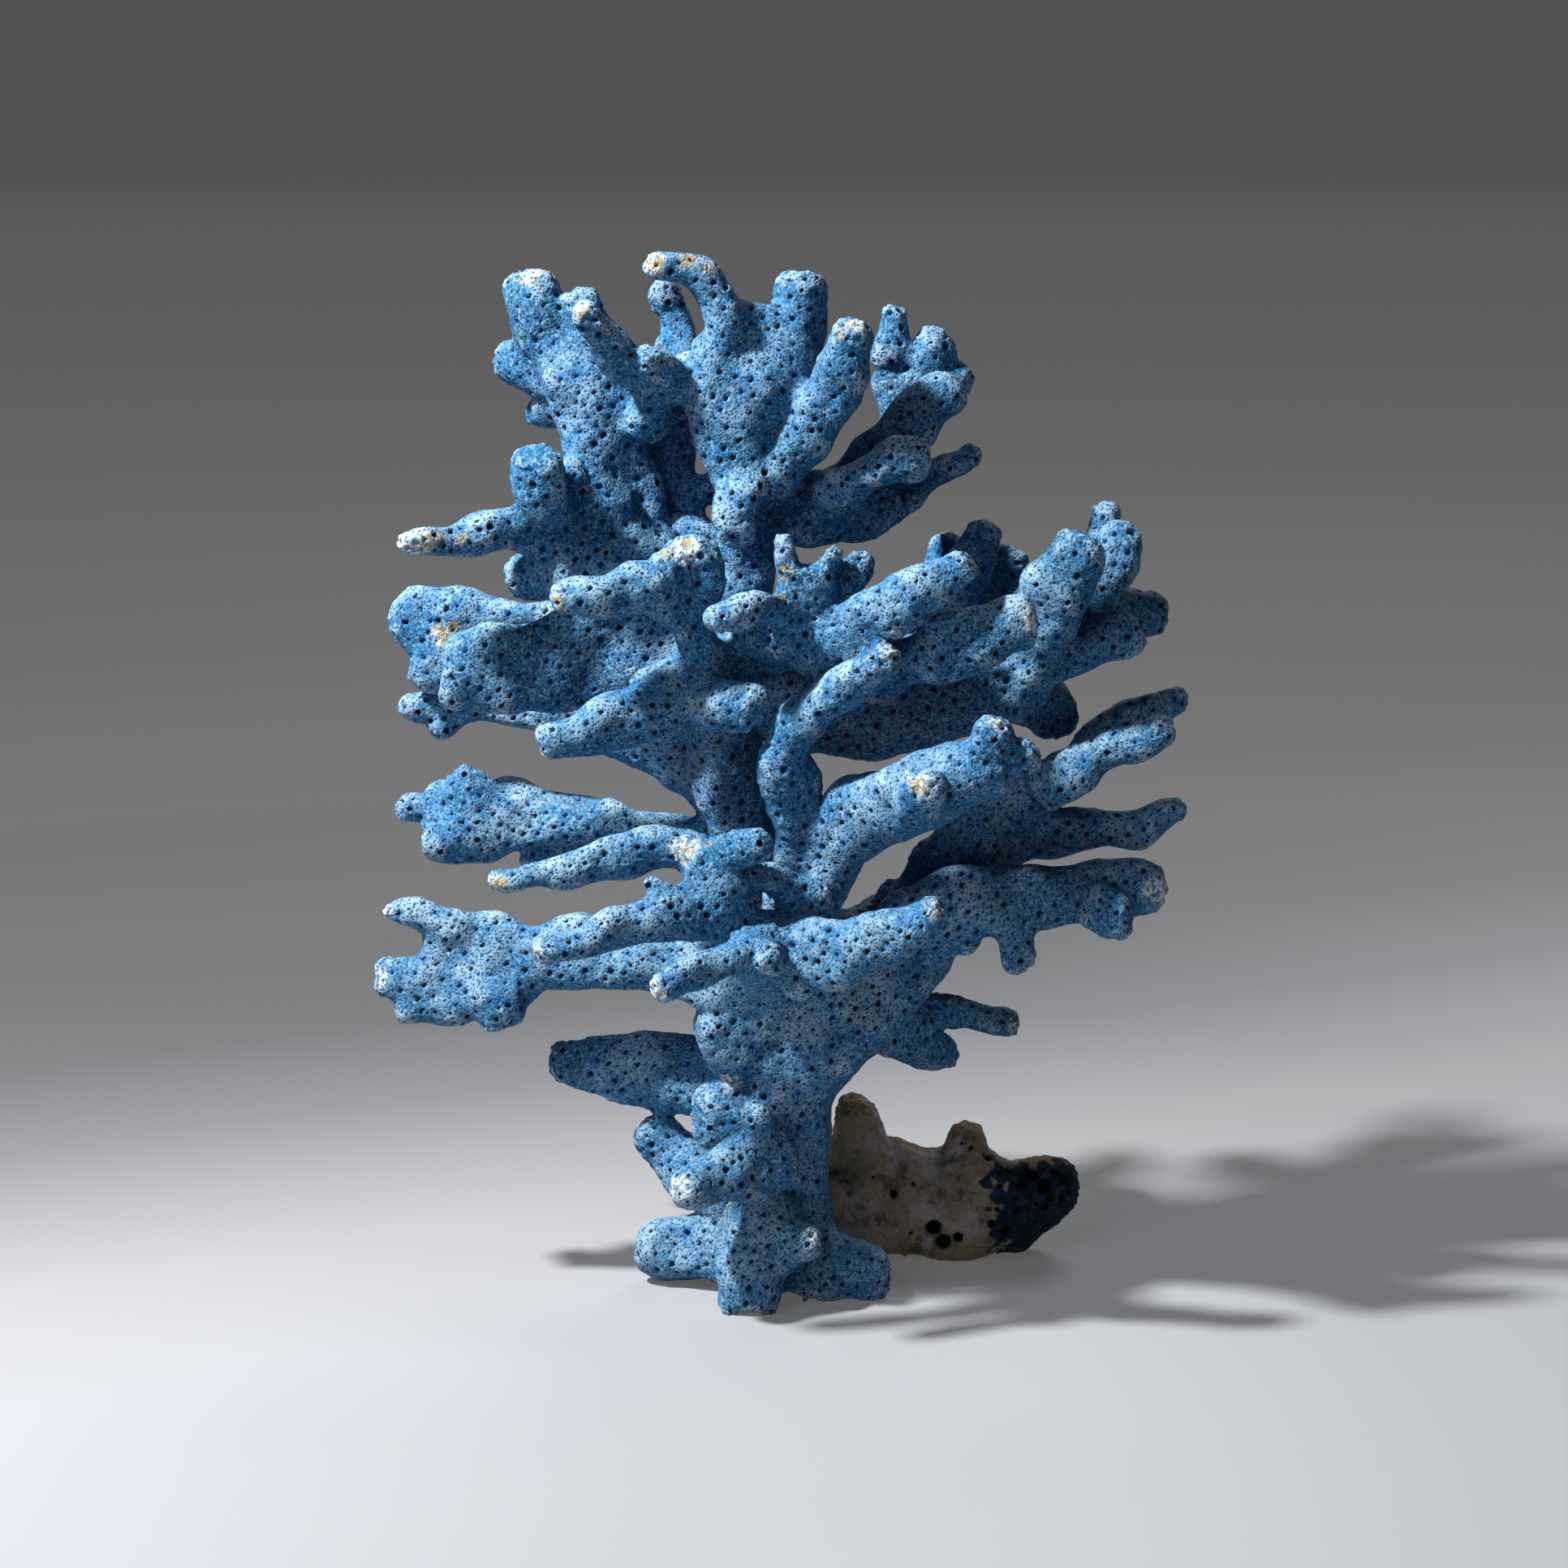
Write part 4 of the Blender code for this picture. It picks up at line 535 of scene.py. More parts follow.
def limb_grid(stations):
    """A superellipse section carried along the path, closing to a blunt point at either end.

    point(s, a) = centre(s) + side(s) w(s) cos(a)^(2/q) + depth(s) t(s) sin(a)^(2/q), with w and t the half
    width and half thickness, q SECTION_SQUARENESS, and both shrunk near the ends.  Returns rings x sides x 3.
    """
    rows = smooth_stations(stations)
    path, scale = seen(*rows[:, :3].T)
    width, thickness = rows[:, 3] * scale, rows[:, 4] * scale
    run = np.concatenate([[0.0], np.cumsum(np.linalg.norm(np.diff(path, axis=0), axis=1))])
    length = run[-1]
    cap = np.array([min(width[0], thickness[0]), min(width[-1], thickness[-1])]) * TIP_LENGTH
    ends = np.array(TIP_RINGS)
    middle = np.linspace(cap[0], length - cap[1], max(3, int((length - cap.sum()) / STATION_STEP) + 1))
    place = np.concatenate([ends[:-1] * cap[0], middle, length - ends[-2::-1] * cap[1]])
    near = np.clip(np.minimum(place / cap[0], (length - place) / cap[1]), 0.0, 1.0)
    shrink = np.maximum((1 - (1 - near) ** TIP_SQUARENESS) ** (1 / TIP_SQUARENESS), TIP_LEAST)
    centre = np.stack([np.interp(place, run, path[:, k]) for k in range(3)], axis=1)
    half_width = np.interp(place, run, width) * shrink
    half_thickness = np.interp(place, run, thickness) * shrink
    along = unit(np.gradient(centre, place, axis=0))
    side = unit(np.cross(unit(centre + FOOT - EYE), along))
    depth = np.cross(along, side)
    angle = np.linspace(0, 2 * math.pi, SECTION_SIDES, endpoint=False)
    power = 2 / SECTION_SQUARENESS
    cosine = np.sign(np.cos(angle)) * np.abs(np.cos(angle)) ** power
    sine = np.sign(np.sin(angle)) * np.abs(np.sin(angle)) ** power
    return (centre[:, None] + side[:, None] * (half_width[:, None] * cosine)[..., None]
            + depth[:, None] * (half_thickness[:, None] * sine)[..., None])


def grid_faces(rings, start):
    """The quads of a tube of that many rings, and its two end faces."""
    ring, side = np.meshgrid(np.arange(rings - 1), np.arange(SECTION_SIDES), indexing="ij")
    ahead = (side + 1) % SECTION_SIDES
    quads = np.stack([ring * SECTION_SIDES + side, ring * SECTION_SIDES + ahead,
                      (ring + 1) * SECTION_SIDES + ahead, (ring + 1) * SECTION_SIDES + side], axis=-1)
    first = np.arange(SECTION_SIDES)[::-1] + start
    last = np.arange(SECTION_SIDES) + (rings - 1) * SECTION_SIDES + start
    return (quads.reshape(-1, 4) + start).tolist() + [first.tolist(), last.tolist()]


def waves(points, length, height, count, seed):
    """A seeded sum of count plane waves of about that length: relief of about that height, in millimetres."""
    rng = np.random.default_rng(seed)
    heading = unit(rng.normal(size=(count, 3)))
    pitch = 2 * math.pi / (length * rng.uniform(*WAVE_SPREAD, count))
    phase = rng.uniform(0, 2 * math.pi, count)
    total = np.zeros(len(points))
    for k in range(count):
        total += np.sin(points @ (heading[k] * pitch[k]) + phase[k])
    return height * total / math.sqrt(count / 2)


def placed(name, data):
    """A new object of the scene, at the origin."""
    made = bpy.data.objects.new(name, data)
    bpy.context.scene.collection.objects.link(made)
    return made


def grown_skin():
    """One closed mesh round all limbs, still in whole millimetres, and the limb points that label it."""
    points, faces, owners, start = [], [], [], 0
    for number, name in enumerate(NAMES):
        for stations in NODE_LIMBS[name]:
            grid = limb_grid(stations)
            faces += grid_faces(len(grid), start)
            points.append(grid.reshape(-1, 3))
            owners.append(np.full(len(points[-1]), number))
            start += len(points[-1])
    points, owners = np.vstack(points), np.concatenate(owners)
    mesh = bpy.data.meshes.new("limbs")
    mesh.from_pydata(points.tolist(), [], faces)
    bm = bmesh.new()
    bm.from_mesh(mesh)
    bmesh.ops.recalc_face_normals(bm, faces=bm.faces)
    bm.to_mesh(mesh)
    bm.free()
    limbs = placed("limbs", mesh)
    remesh = limbs.modifiers.new("grow", "REMESH")
    remesh.mode = "VOXEL"
    remesh.voxel_size = SKIN_CELL
    depsgraph = bpy.context.evaluated_depsgraph_get()
    skin = bpy.data.meshes.new_from_object(limbs.evaluated_get(depsgraph), depsgraph=depsgraph)
    bpy.data.objects.remove(limbs, do_unlink=True)
    return skin, points, owners


def numbers_of(items, name, width=1, kind=float):
    """A property of each of a mesh's items as an array, one row of that width for each."""
    values = np.empty(len(items) * width, dtype=kind)
    items.foreach_get(name, values)
    return values.reshape(-1, width) if width > 1 else values


def moved_to(mesh, points):
    """Moves the mesh's points to these places and gives its normals there."""
    mesh.vertices.foreach_set("co", points.ravel())
    mesh.update()
    return numbers_of(mesh.vertices, "normal", 3)


def blurred(values, edges, rounds):
    """Each round moves every value half way to the mean of its neighbours along the edges."""
    count = len(values)
    degree = np.maximum(np.bincount(edges.ravel(), minlength=count), 1)
    columns = values.reshape(count, -1).astype(float)
    for _ in range(rounds):
        for k in range(columns.shape[1]):
            value = columns[:, k]
            around = (np.bincount(edges[:, 0], weights=value[edges[:, 1]], minlength=count)
                      + np.bincount(edges[:, 1], weights=value[edges[:, 0]], minlength=count))
            columns[:, k] = 0.5 * value + 0.5 * around / degree
    return columns.reshape(values.shape)


def linked_groups(count, pairs):
    """The lowest index that each of count things is linked to through the pairs."""
    group = np.arange(count)
    while True:
        lowest = np.minimum(group[pairs[:, 0]], group[pairs[:, 1]])
        before = group.copy()
        np.minimum.at(group, group[pairs[:, 0]], lowest)
        np.minimum.at(group, group[pairs[:, 1]], lowest)
        group = group[group]
        if np.array_equal(group, before):
            return group


def keep_largest_shell(bm):
    """Deletes sealed hollows and loose crumbs: every shell but the one with the most vertices."""
    bm.verts.index_update()
    pairs = np.array([(e.verts[0].index, e.verts[1].index) for e in bm.edges])
    group = linked_groups(len(bm.verts), pairs)
    largest = np.bincount(group).argmax()
    bmesh.ops.delete(bm, geom=[v for v in bm.verts if group[v.index] != largest], context="VERTS")


def cut_foot(mesh):
    """Cuts the skin off flat at the floor, closes the cut, and leaves only triangles and quads."""
    bm = bmesh.new()
    bm.from_mesh(mesh)
    bmesh.ops.bisect_plane(bm, geom=bm.verts[:] + bm.edges[:] + bm.faces[:], dist=1e-4, plane_co=(0, 0, 0),
                           plane_no=(0, 0, 1), clear_inner=True)
    bmesh.ops.holes_fill(bm, edges=[e for e in bm.edges if e.is_boundary], sides=0)
    keep_largest_shell(bm)
    bmesh.ops.triangulate(bm, faces=[f for f in bm.faces if len(f.verts) > 4])
    bm.to_mesh(mesh)
    bm.free()


def relieved(points, normals, tips, crust):
    """The skin moved along its normals by growth lumps, knobbles and, near the broken tips, rough crumble."""
    move = waves(points, *LUMPS) + waves(points, *KNOBBLES)
    move += waves(points, *CRUMBLE) * (CRUMBLE_HEIGHT * tips + CRUST_HEIGHT * crust)
    move *= np.clip(points[:, 2] / FOOT_CALM, 0, 1)
    return points + normals * move[:, None]


def point_tree(points):
    """The points in a tree that finds near ones fast."""
    tree = kdtree.KDTree(len(points))
    for index, point in enumerate(points):
        tree.insert(point, index)
    tree.balance()
    return tree


def scatter(tree, points, order, spacing, free):
    """Takes points in the order given, each further than spacing from all taken before it."""
    taken = []
    for index in order:
        if free[index]:
            taken.append(index)
            for _, near, _ in tree.find_range(points[index], spacing[index]):
                free[near] = False
    return np.array(taken)


def reach(tree, points, normals, centres, radius):
    """Every pair of a centre and a point within its radius on the same side of the skin."""
    holes, members = [], []
    for hole, centre in enumerate(centres):
        near = [index for _, index, _ in tree.find_range(points[centre], radius[hole])]
        holes += [hole] * len(near)
        members += near
    holes, members = np.array(holes), np.array(members)
    facing = (normals[members] * normals[centres[holes]]).sum(axis=1) > SAME_SIDE
    return holes[facing], members[facing]


def sunk(points, normals, centres, radius, holes, members, depth):
    """Pits at the centres.  A point at distance d from the axis of a pit of radius r sinks by
    depth sqrt(1 - (d / r)^2).  Round a pit no wider than a few cells the ring of points beside the centre
    first goes to r + RIM_GIVE (d - NEXT_CELL), so that it forms a round rim.
    Returns the moved points and how deep in a pit each one lies, 0 to 1."""
    axis = normals[centres[holes]]
    offset = points[members] - points[centres[holes]]
    height = (offset * axis).sum(axis=1)[:, None]
    flat = offset - axis * height
    distance = np.linalg.norm(flat, axis=1)
    r = radius[holes]
    ring = (distance > NEXT_CELL * RIM_RING[0]) & (distance < NEXT_CELL * RIM_RING[1])
    ring &= r < NEXT_CELL * RIM_PORE
    new_distance = np.where(ring, r + RIM_GIVE * (distance - NEXT_CELL), distance)
    level = np.clip(1 - (new_distance / r) ** 2, 0, 1)
    stretch = (new_distance / np.maximum(distance, 1e-6))[:, None]
    drop = (depth[holes] * np.sqrt(level))[:, None]
    place = points[centres[holes]] + axis * height + flat * stretch - axis * drop
    moves = ring | (level > 0)
    moved = points.copy()
    moved[members[moves]] = place[moves]
    lies = np.zeros(len(points))
    np.maximum.at(lies, members, level)
    return moved, lies


def front_points(points, spots):
    """The foremost point of the skin that is seen at each (across, up)."""
    across, up, depth = as_seen(points)
    found = []
    for spot in spots:
        miss = np.hypot(across - spot[0], up - spot[1])
        found.append(np.argmin(SPOT_WEIGHTS[0] * np.maximum(miss - SPOT_MISS, 0) + SPOT_WEIGHTS[1] * depth))
    return np.array(found)


def nearness(points, places, reaches, softness):
    """1 near each place, falling evenly from MARK_CORE of its reach to 0 at softness times it."""
    level = np.zeros(len(points))
    for place, far in zip(places, reaches):
        distance = np.linalg.norm(points - place, axis=1)
        falling = (far * softness - distance) / (far * (softness - MARK_CORE))
        level = np.maximum(level, np.clip(falling, 0, 1))
    return level


def spot_level(points, spots):
    """How near each point is to the foremost skin at the spots (across, up, reach)."""
    return nearness(points, points[front_points(points, spots)], [spot[2] for spot in spots], SPOT_SOFTNESS)


def end_level(points, least, widths):
    """How near each point is to the open end of a limb, within that many half widths of it or the least."""
    last = [stations[-1] for limbs in NODE_LIMBS.values() for stations in limbs]
    ends = np.array([station for station in last if station[3] <= OPEN_END], dtype=float)
    places = seen(*ends[:, :3].T)[0]
    return nearness(points, places, np.maximum(least, widths * ends[:, 3]), END_SOFTNESS)


def labelled(points, edges, faces, limb_points, owners):
    """The node of each face: that of the nearest limb, with ragged borders eased and islands given away."""
    tree = point_tree(limb_points)
    nearest = owners[[tree.find(point)[1] for point in points]]
    share = blurred(np.eye(len(NAMES))[nearest], edges, BORDER_ROUNDS)
    used = faces >= 0
    label = (share[np.where(used, faces, 0)] * used[..., None]).sum(axis=1).argmax(axis=1)
    sides = matched_sides(faces)
    first, second = sides[2], sides[3]
    for _ in range(BORDER_PASSES):
        same = label[first] == label[second]
        group = linked_groups(len(faces), np.stack([first[same], second[same]], axis=1))
        lost = np.bincount(group, minlength=len(faces))[group] < ISLAND_FACES
        across = lost[first] & ~lost[second]
        label[first[across]] = label[second[across]]
        across = lost[second] & ~lost[first]
        label[second[across]] = label[first[across]]
        knots = pinched(sides, label)
        if not lost.any() and not len(knots):
            break
        for knot in knots:
            around = np.flatnonzero((faces == knot).any(axis=1))
            label[around] = np.bincount(label[around]).argmax()
    return label, sides


def face_corners(mesh):
    """Each face's points in order, with -1 for the fourth of a triangle."""
    corners = numbers_of(mesh.loops, "vertex_index", kind=np.int32)
    first = numbers_of(mesh.polygons, "loop_start", kind=np.int32)
    count = numbers_of(mesh.polygons, "loop_total", kind=np.int32)
    faces = np.full((len(first), 4), -1)
    for corner in range(4):
        has = count > corner
        faces[has, corner] = corners[first[has] + corner]
    return faces


def directed_sides(faces):
    """Start, end and face of every side of every face, in its own direction round the face."""
    count = (faces >= 0).sum(axis=1)
    starts, ends, owner = [], [], []
    for corner in range(4):
        has = np.flatnonzero(count > corner)
        after = np.where(count[has] > corner + 1, corner + 1, 0)
        starts.append(faces[has, corner])
        ends.append(faces[has, after])
        owner.append(has)
    return np.concatenate(starts), np.concatenate(ends), np.concatenate(owner)


def matched_sides(faces):
    """The sides of the faces with, for each, the face on its other side."""
    start, end, owner = directed_sides(faces)
    key = np.minimum(start, end).astype(np.int64) * (faces.max() + 1) + np.maximum(start, end)
    pair = np.argsort(key, kind="stable").reshape(-1, 2)
    other = np.empty(len(start), dtype=int)
    other[pair] = owner[pair[:, ::-1]]
    return start, end, owner, other


def pinched(sides, label):
    """Points where a node's border touches itself."""
    start, owner, other = sides[0], sides[2], sides[3]
    border = label[owner] != label[other]
    key = start[border].astype(np.int64) * len(NAMES) + label[owner[border]]
    value, count = np.unique(key, return_counts=True)
    return np.unique(value[count > 1] // len(NAMES))


def summed(loop, vectors):
    """The sum of the vectors of each loop."""
    return np.stack([np.bincount(loop, weights=vectors[:, k]) for k in range(3)], axis=1)


def piece_of_skin(name, points, normals, faces, sides, label, number, marks):
    """The faces of one node as a closed mesh in metres: each open border is carried a step under the skin and
    closed by a fan round the middle of the border."""
    start, end, owner, other = sides
    border = (label[owner] == number) & (label[other] != number)
    own = faces[label == number]
    used = np.unique(own[own >= 0])
    new_index = np.full(len(points), -1)
    new_index[used] = np.arange(len(used))
    polygons = [[new_index[i] for i in face if i >= 0] for face in own]
    places, directions = [points[used]], [normals[used]]
    count = len(used)
    a, b = start[border], end[border]
    if len(a):
        rim = np.unique(np.concatenate([a, b]))
        where = np.full(len(points), -1)
        where[rim] = np.arange(len(rim))
        loops = linked_groups(len(rim), np.stack([where[a], where[b]], axis=1))
        heads, loop = np.unique(loops, return_inverse=True)
        under = points[rim] - normals[rim] * SEAM_DEPTH
        middle = summed(loop, under) / np.bincount(loop)[:, None]
        if name in SEAM_MIDDLES:
            middle[np.bincount(loop).argmax()] = SEAM_MIDDLES[name]
        places += [under, middle]
        directions += [normals[rim], unit(summed(loop, normals[rim]))]
        ring, hub = count + np.arange(len(rim)), count + len(rim) + np.arange(len(heads))
        low_a, low_b = ring[where[a]], ring[where[b]]
        polygons += np.stack([new_index[b], new_index[a], low_a, low_b], axis=1).tolist()
        polygons += np.stack([low_b, low_a, hub[loop[where[a]]]], axis=1).tolist()
        count += len(rim) + len(heads)
    mesh = bpy.data.meshes.new(name)
    mesh.from_pydata((np.vstack(places) * MM).tolist(), [], polygons)
    mesh.polygons.foreach_set("use_smooth", np.ones(len(polygons), dtype=bool))
    mesh.normals_split_custom_set_from_vertices(np.vstack(directions).tolist())
    for mark, values in marks.items():
        attribute = mesh.attributes.new(mark, "FLOAT", "POINT")
        attribute.data.foreach_set("value", np.concatenate([values[used], np.zeros(count - len(used))]))
    return mesh


def pitted(points, normals, crust, on_foot):
    """The skin with its pores and holes sunk into it, all drawn in turn from one seed, and its pore marks.
    The points wander a little along the skin first, so that no pore shows the cells of the remesh."""
    rng = np.random.default_rng(PORE_SEED)
    wander = rng.normal(size=points.shape) * WANDER
    wander -= normals * (wander * normals).sum(axis=1)[:, None]
    wander[on_foot] = 0.0
    points = points + wander
    tree = point_tree(points)
    order = rng.permutation(len(points))
    spacing = rng.uniform(*PORE_SPACING, len(points))
    pores = scatter(tree, points, order, spacing, ~on_foot & (crust < 0.5))
    narrow, wide = PORE_RADIUS
    radius = narrow + (wide - narrow) * rng.uniform(0, 1, len(pores)) ** PORE_SKEW
    holes, members = reach(tree, points, normals, pores, radius + HALO_WIDTH)
    away = np.linalg.norm(points[members] - points[pores[holes]], axis=1) - radius[holes]
    strength = rng.uniform(0, 1, len(pores))[holes] ** HALO_SKEW
    halo = np.zeros(len(points))
    np.maximum.at(halo, members, strength * np.clip(1 - away / HALO_WIDTH, 0, 1))
    clear = ~on_foot
    clear[members[away < SPECK_CLEAR]] = False
    moved, pore = sunk(points, normals, pores, radius, holes, members, radius * PORE_DEPTH)
    bores = front_points(points, CRUST_HOLES)
    radius = np.array([hole[2] for hole in CRUST_HOLES])
    holes, members = reach(tree, points, normals, bores, radius * HOLE_REACH)
    moved, bored = sunk(moved, normals, bores, radius, holes, members, radius * HOLE_DEPTH)
    specks = scatter(tree, points, order, np.full(len(points), SPECK_SPACING), clear)
    speck = np.zeros(len(points))
    speck[specks] = rng.uniform(*SPECK_STRENGTH, len(specks))
    moved -= normals * (speck * SPECK_DEPTH)[:, None]
    moved[:, 2] = np.maximum(moved[:, 2], 0.0)
    return points, moved, {"pore": np.maximum(pore, bored), "speck": speck, "halo": halo}


def skin_marks(points, normals, edges, crust, hollow, pore_marks):
    """What the materials read of each point, 0 to 1: painted light, how bare, hollow, young and so on it is.
    """
    across, up = as_seen(points)[:2]
    ragged = waves(points, *RAGGED)
    bared = np.clip((across + ragged - BARED_FROM) / BARED_EDGE, 0, 1)
    bared *= np.clip((BARED_TOP + 0.5 * ragged - up) / BARED_EDGE, 0, 1)
    # Painted light on the side facing the lamps, with painted shade by height taking it down towards the
    # crown
    height_shade = np.interp(points[:, 2], *zip(*PAINTED_SHADE_BY_HEIGHT))
    painted_light = blurred(normals @ np.array(PAINTED_LIGHT_SIDE), edges, PAINTED_LIGHT_ROUNDS) - height_shade
    return {
        "painted_light": 0.5 + 0.5 * painted_light,
        "bared": bared * crust,
        **pore_marks,
        "hollow": np.clip(hollow / VALLEY_DEPTH, -1, 1) * 0.5 + 0.5,
        "young": end_level(points, YOUNG_REACH, YOUNG_WIDTHS),
        "sediment": spot_level(points, SEDIMENT),
        # Painted shade in the spots where shadows fall
        "shade_spot": spot_level(points, SHADE_SPOTS),
        "fresh": spot_level(points, FRESH_BREAKS),
    }


def build_coral(blue, crust_finish):
    """Grows the skin, gives it its relief and pores, and parts it into one piece for each CAD node."""
    mesh, limb_points, owners = grown_skin()
    cut_foot(mesh)
    edges = numbers_of(mesh.edges, "vertices", 2, np.int32)
    faces = face_corners(mesh)
    cut = numbers_of(mesh.vertices, "co", 3)
    points = blurred(cut, edges, FORK_ROUNDS)
    points[cut[:, 2] < FLOOR_TOUCH, 2] = 0.0
    normals = moved_to(mesh, points)
    label, sides = labelled(points, edges, faces, limb_points, owners)
    crust = np.zeros(len(points))
    crust[np.unique(faces[label == NAMES.index(CRUST)])] = 1.0
    crust = blurred(crust, edges, CRUST_EASING)
    points = relieved(points, normals, end_level(points, TIP_REACH, TIP_WIDTHS), crust)
    points[:, 2] = np.maximum(points[:, 2], 0.0)
    normals = moved_to(mesh, points)
    hollow = ((blurred(points, edges, VALLEY_ROUNDS) - points) * normals).sum(axis=1)
    points, moved, pore_marks = pitted(points, normals, crust, points[:, 2] < FOOT_CALM)
    normals = moved_to(mesh, moved)
    marks = skin_marks(points, normals, edges, crust, hollow, pore_marks)
    for number, name in enumerate(NAMES):
        skin = piece_of_skin(name + "_skin", moved, normals, faces, sides, label, number, marks)
        piece = placed(name + "_skin", skin)
        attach(piece, "root")
        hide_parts(name)
        skin.materials.append(crust_finish if name == CRUST else blue)
    bpy.data.meshes.remove(mesh)


def srgb(code):
    """A hex colour as it looks on a screen, turned to linear red, green, blue and alpha."""
    parts = [int(code[i:i + 2], 16) / 255 for i in (1, 3, 5)]
    return (*(p / 12.92 if p <= 0.04045 else ((p + 0.055) / 1.055) ** 2.4 for p in parts), 1.0)


def add(tree, kind, inputs=(), **settings):
    """Adds a node.  Inputs are values or sockets to link, by the input's name or number."""
    made = tree.nodes.new(kind)
    for name, value in settings.items():
        setattr(made, name, value)
    for name, value in dict(inputs).items():
        if isinstance(value, bpy.types.NodeSocket):
            tree.links.new(value, made.inputs[name])
        else:
            made.inputs[name].default_value = value
    return made


def per_metre(size_mm):
    """The noise scale that draws patches of that size on coordinates in metres."""
    return 1 / (size_mm * MM)


def patches(tree, place, size_mm, low, high, detail=3.0, seed=(0, 0, 0)):
    """A mask of irregular patches of about size_mm, 0 where the noise is below low and 1 above high."""
    moved = add(tree, "ShaderNodeMapping", {"Vector": place, "Location": seed})
    noise = add(tree, "ShaderNodeTexNoise", {"Vector": moved.outputs[0], "Scale": per_metre(size_mm),
                                             "Detail": detail, "Roughness": 0.55})
    return add(tree, "ShaderNodeMapRange", {"Value": noise.outputs[0], "From Min": low, "From Max": high},
               interpolation_type="SMOOTHSTEP").outputs[0]


def mark_mask(tree, mark, low, high):
    """A mask from one of the skin's own marks, 0 at low and 1 at high, either way round."""
    value = add(tree, "ShaderNodeAttribute", attribute_name=mark).outputs["Fac"]
    return add(tree, "ShaderNodeMapRange", {"Value": value, "From Min": low, "From Max": high},
               interpolation_type="SMOOTHSTEP").outputs[0]


def layered(tree, colour, coats):
    """Coats laid over the ground colour in order, each a hex colour and the masks or numbers whose product
    says how much of it shows."""
    for code, mask, *others in coats:
        for other in others:
            mask = add(tree, "ShaderNodeMath", {0: mask, 1: other}, operation="MULTIPLY").outputs[0]
        coat = add(tree, "ShaderNodeMix", {0: mask, 6: colour, 7: srgb(code)}, data_type="RGBA")
        colour = coat.outputs[2]
    return colour


def bare_material(name, finish):
    """A new material with the finish set on its shader's own sockets, and its Object coordinates."""
    material = bpy.data.materials.new(name)
    material.use_nodes = True
    tree = material.node_tree
    shader = tree.nodes["Principled BSDF"]
    for socket, value in finish.items():
        shader.inputs[socket].default_value = value
    return material, tree, shader, add(tree, "ShaderNodeTexCoord").outputs["Object"]


def rough_relief(tree, heights):
    """Bumps one over the other, each (height socket, depth in millimetres)."""
    normal = None
    for height, depth_mm in heights:
        inputs = {"Height": height, "Strength": 1.0, "Distance": depth_mm * MM}
        if normal:
            inputs["Normal"] = normal
        normal = add(tree, "ShaderNodeBump", inputs).outputs[0]
    return normal


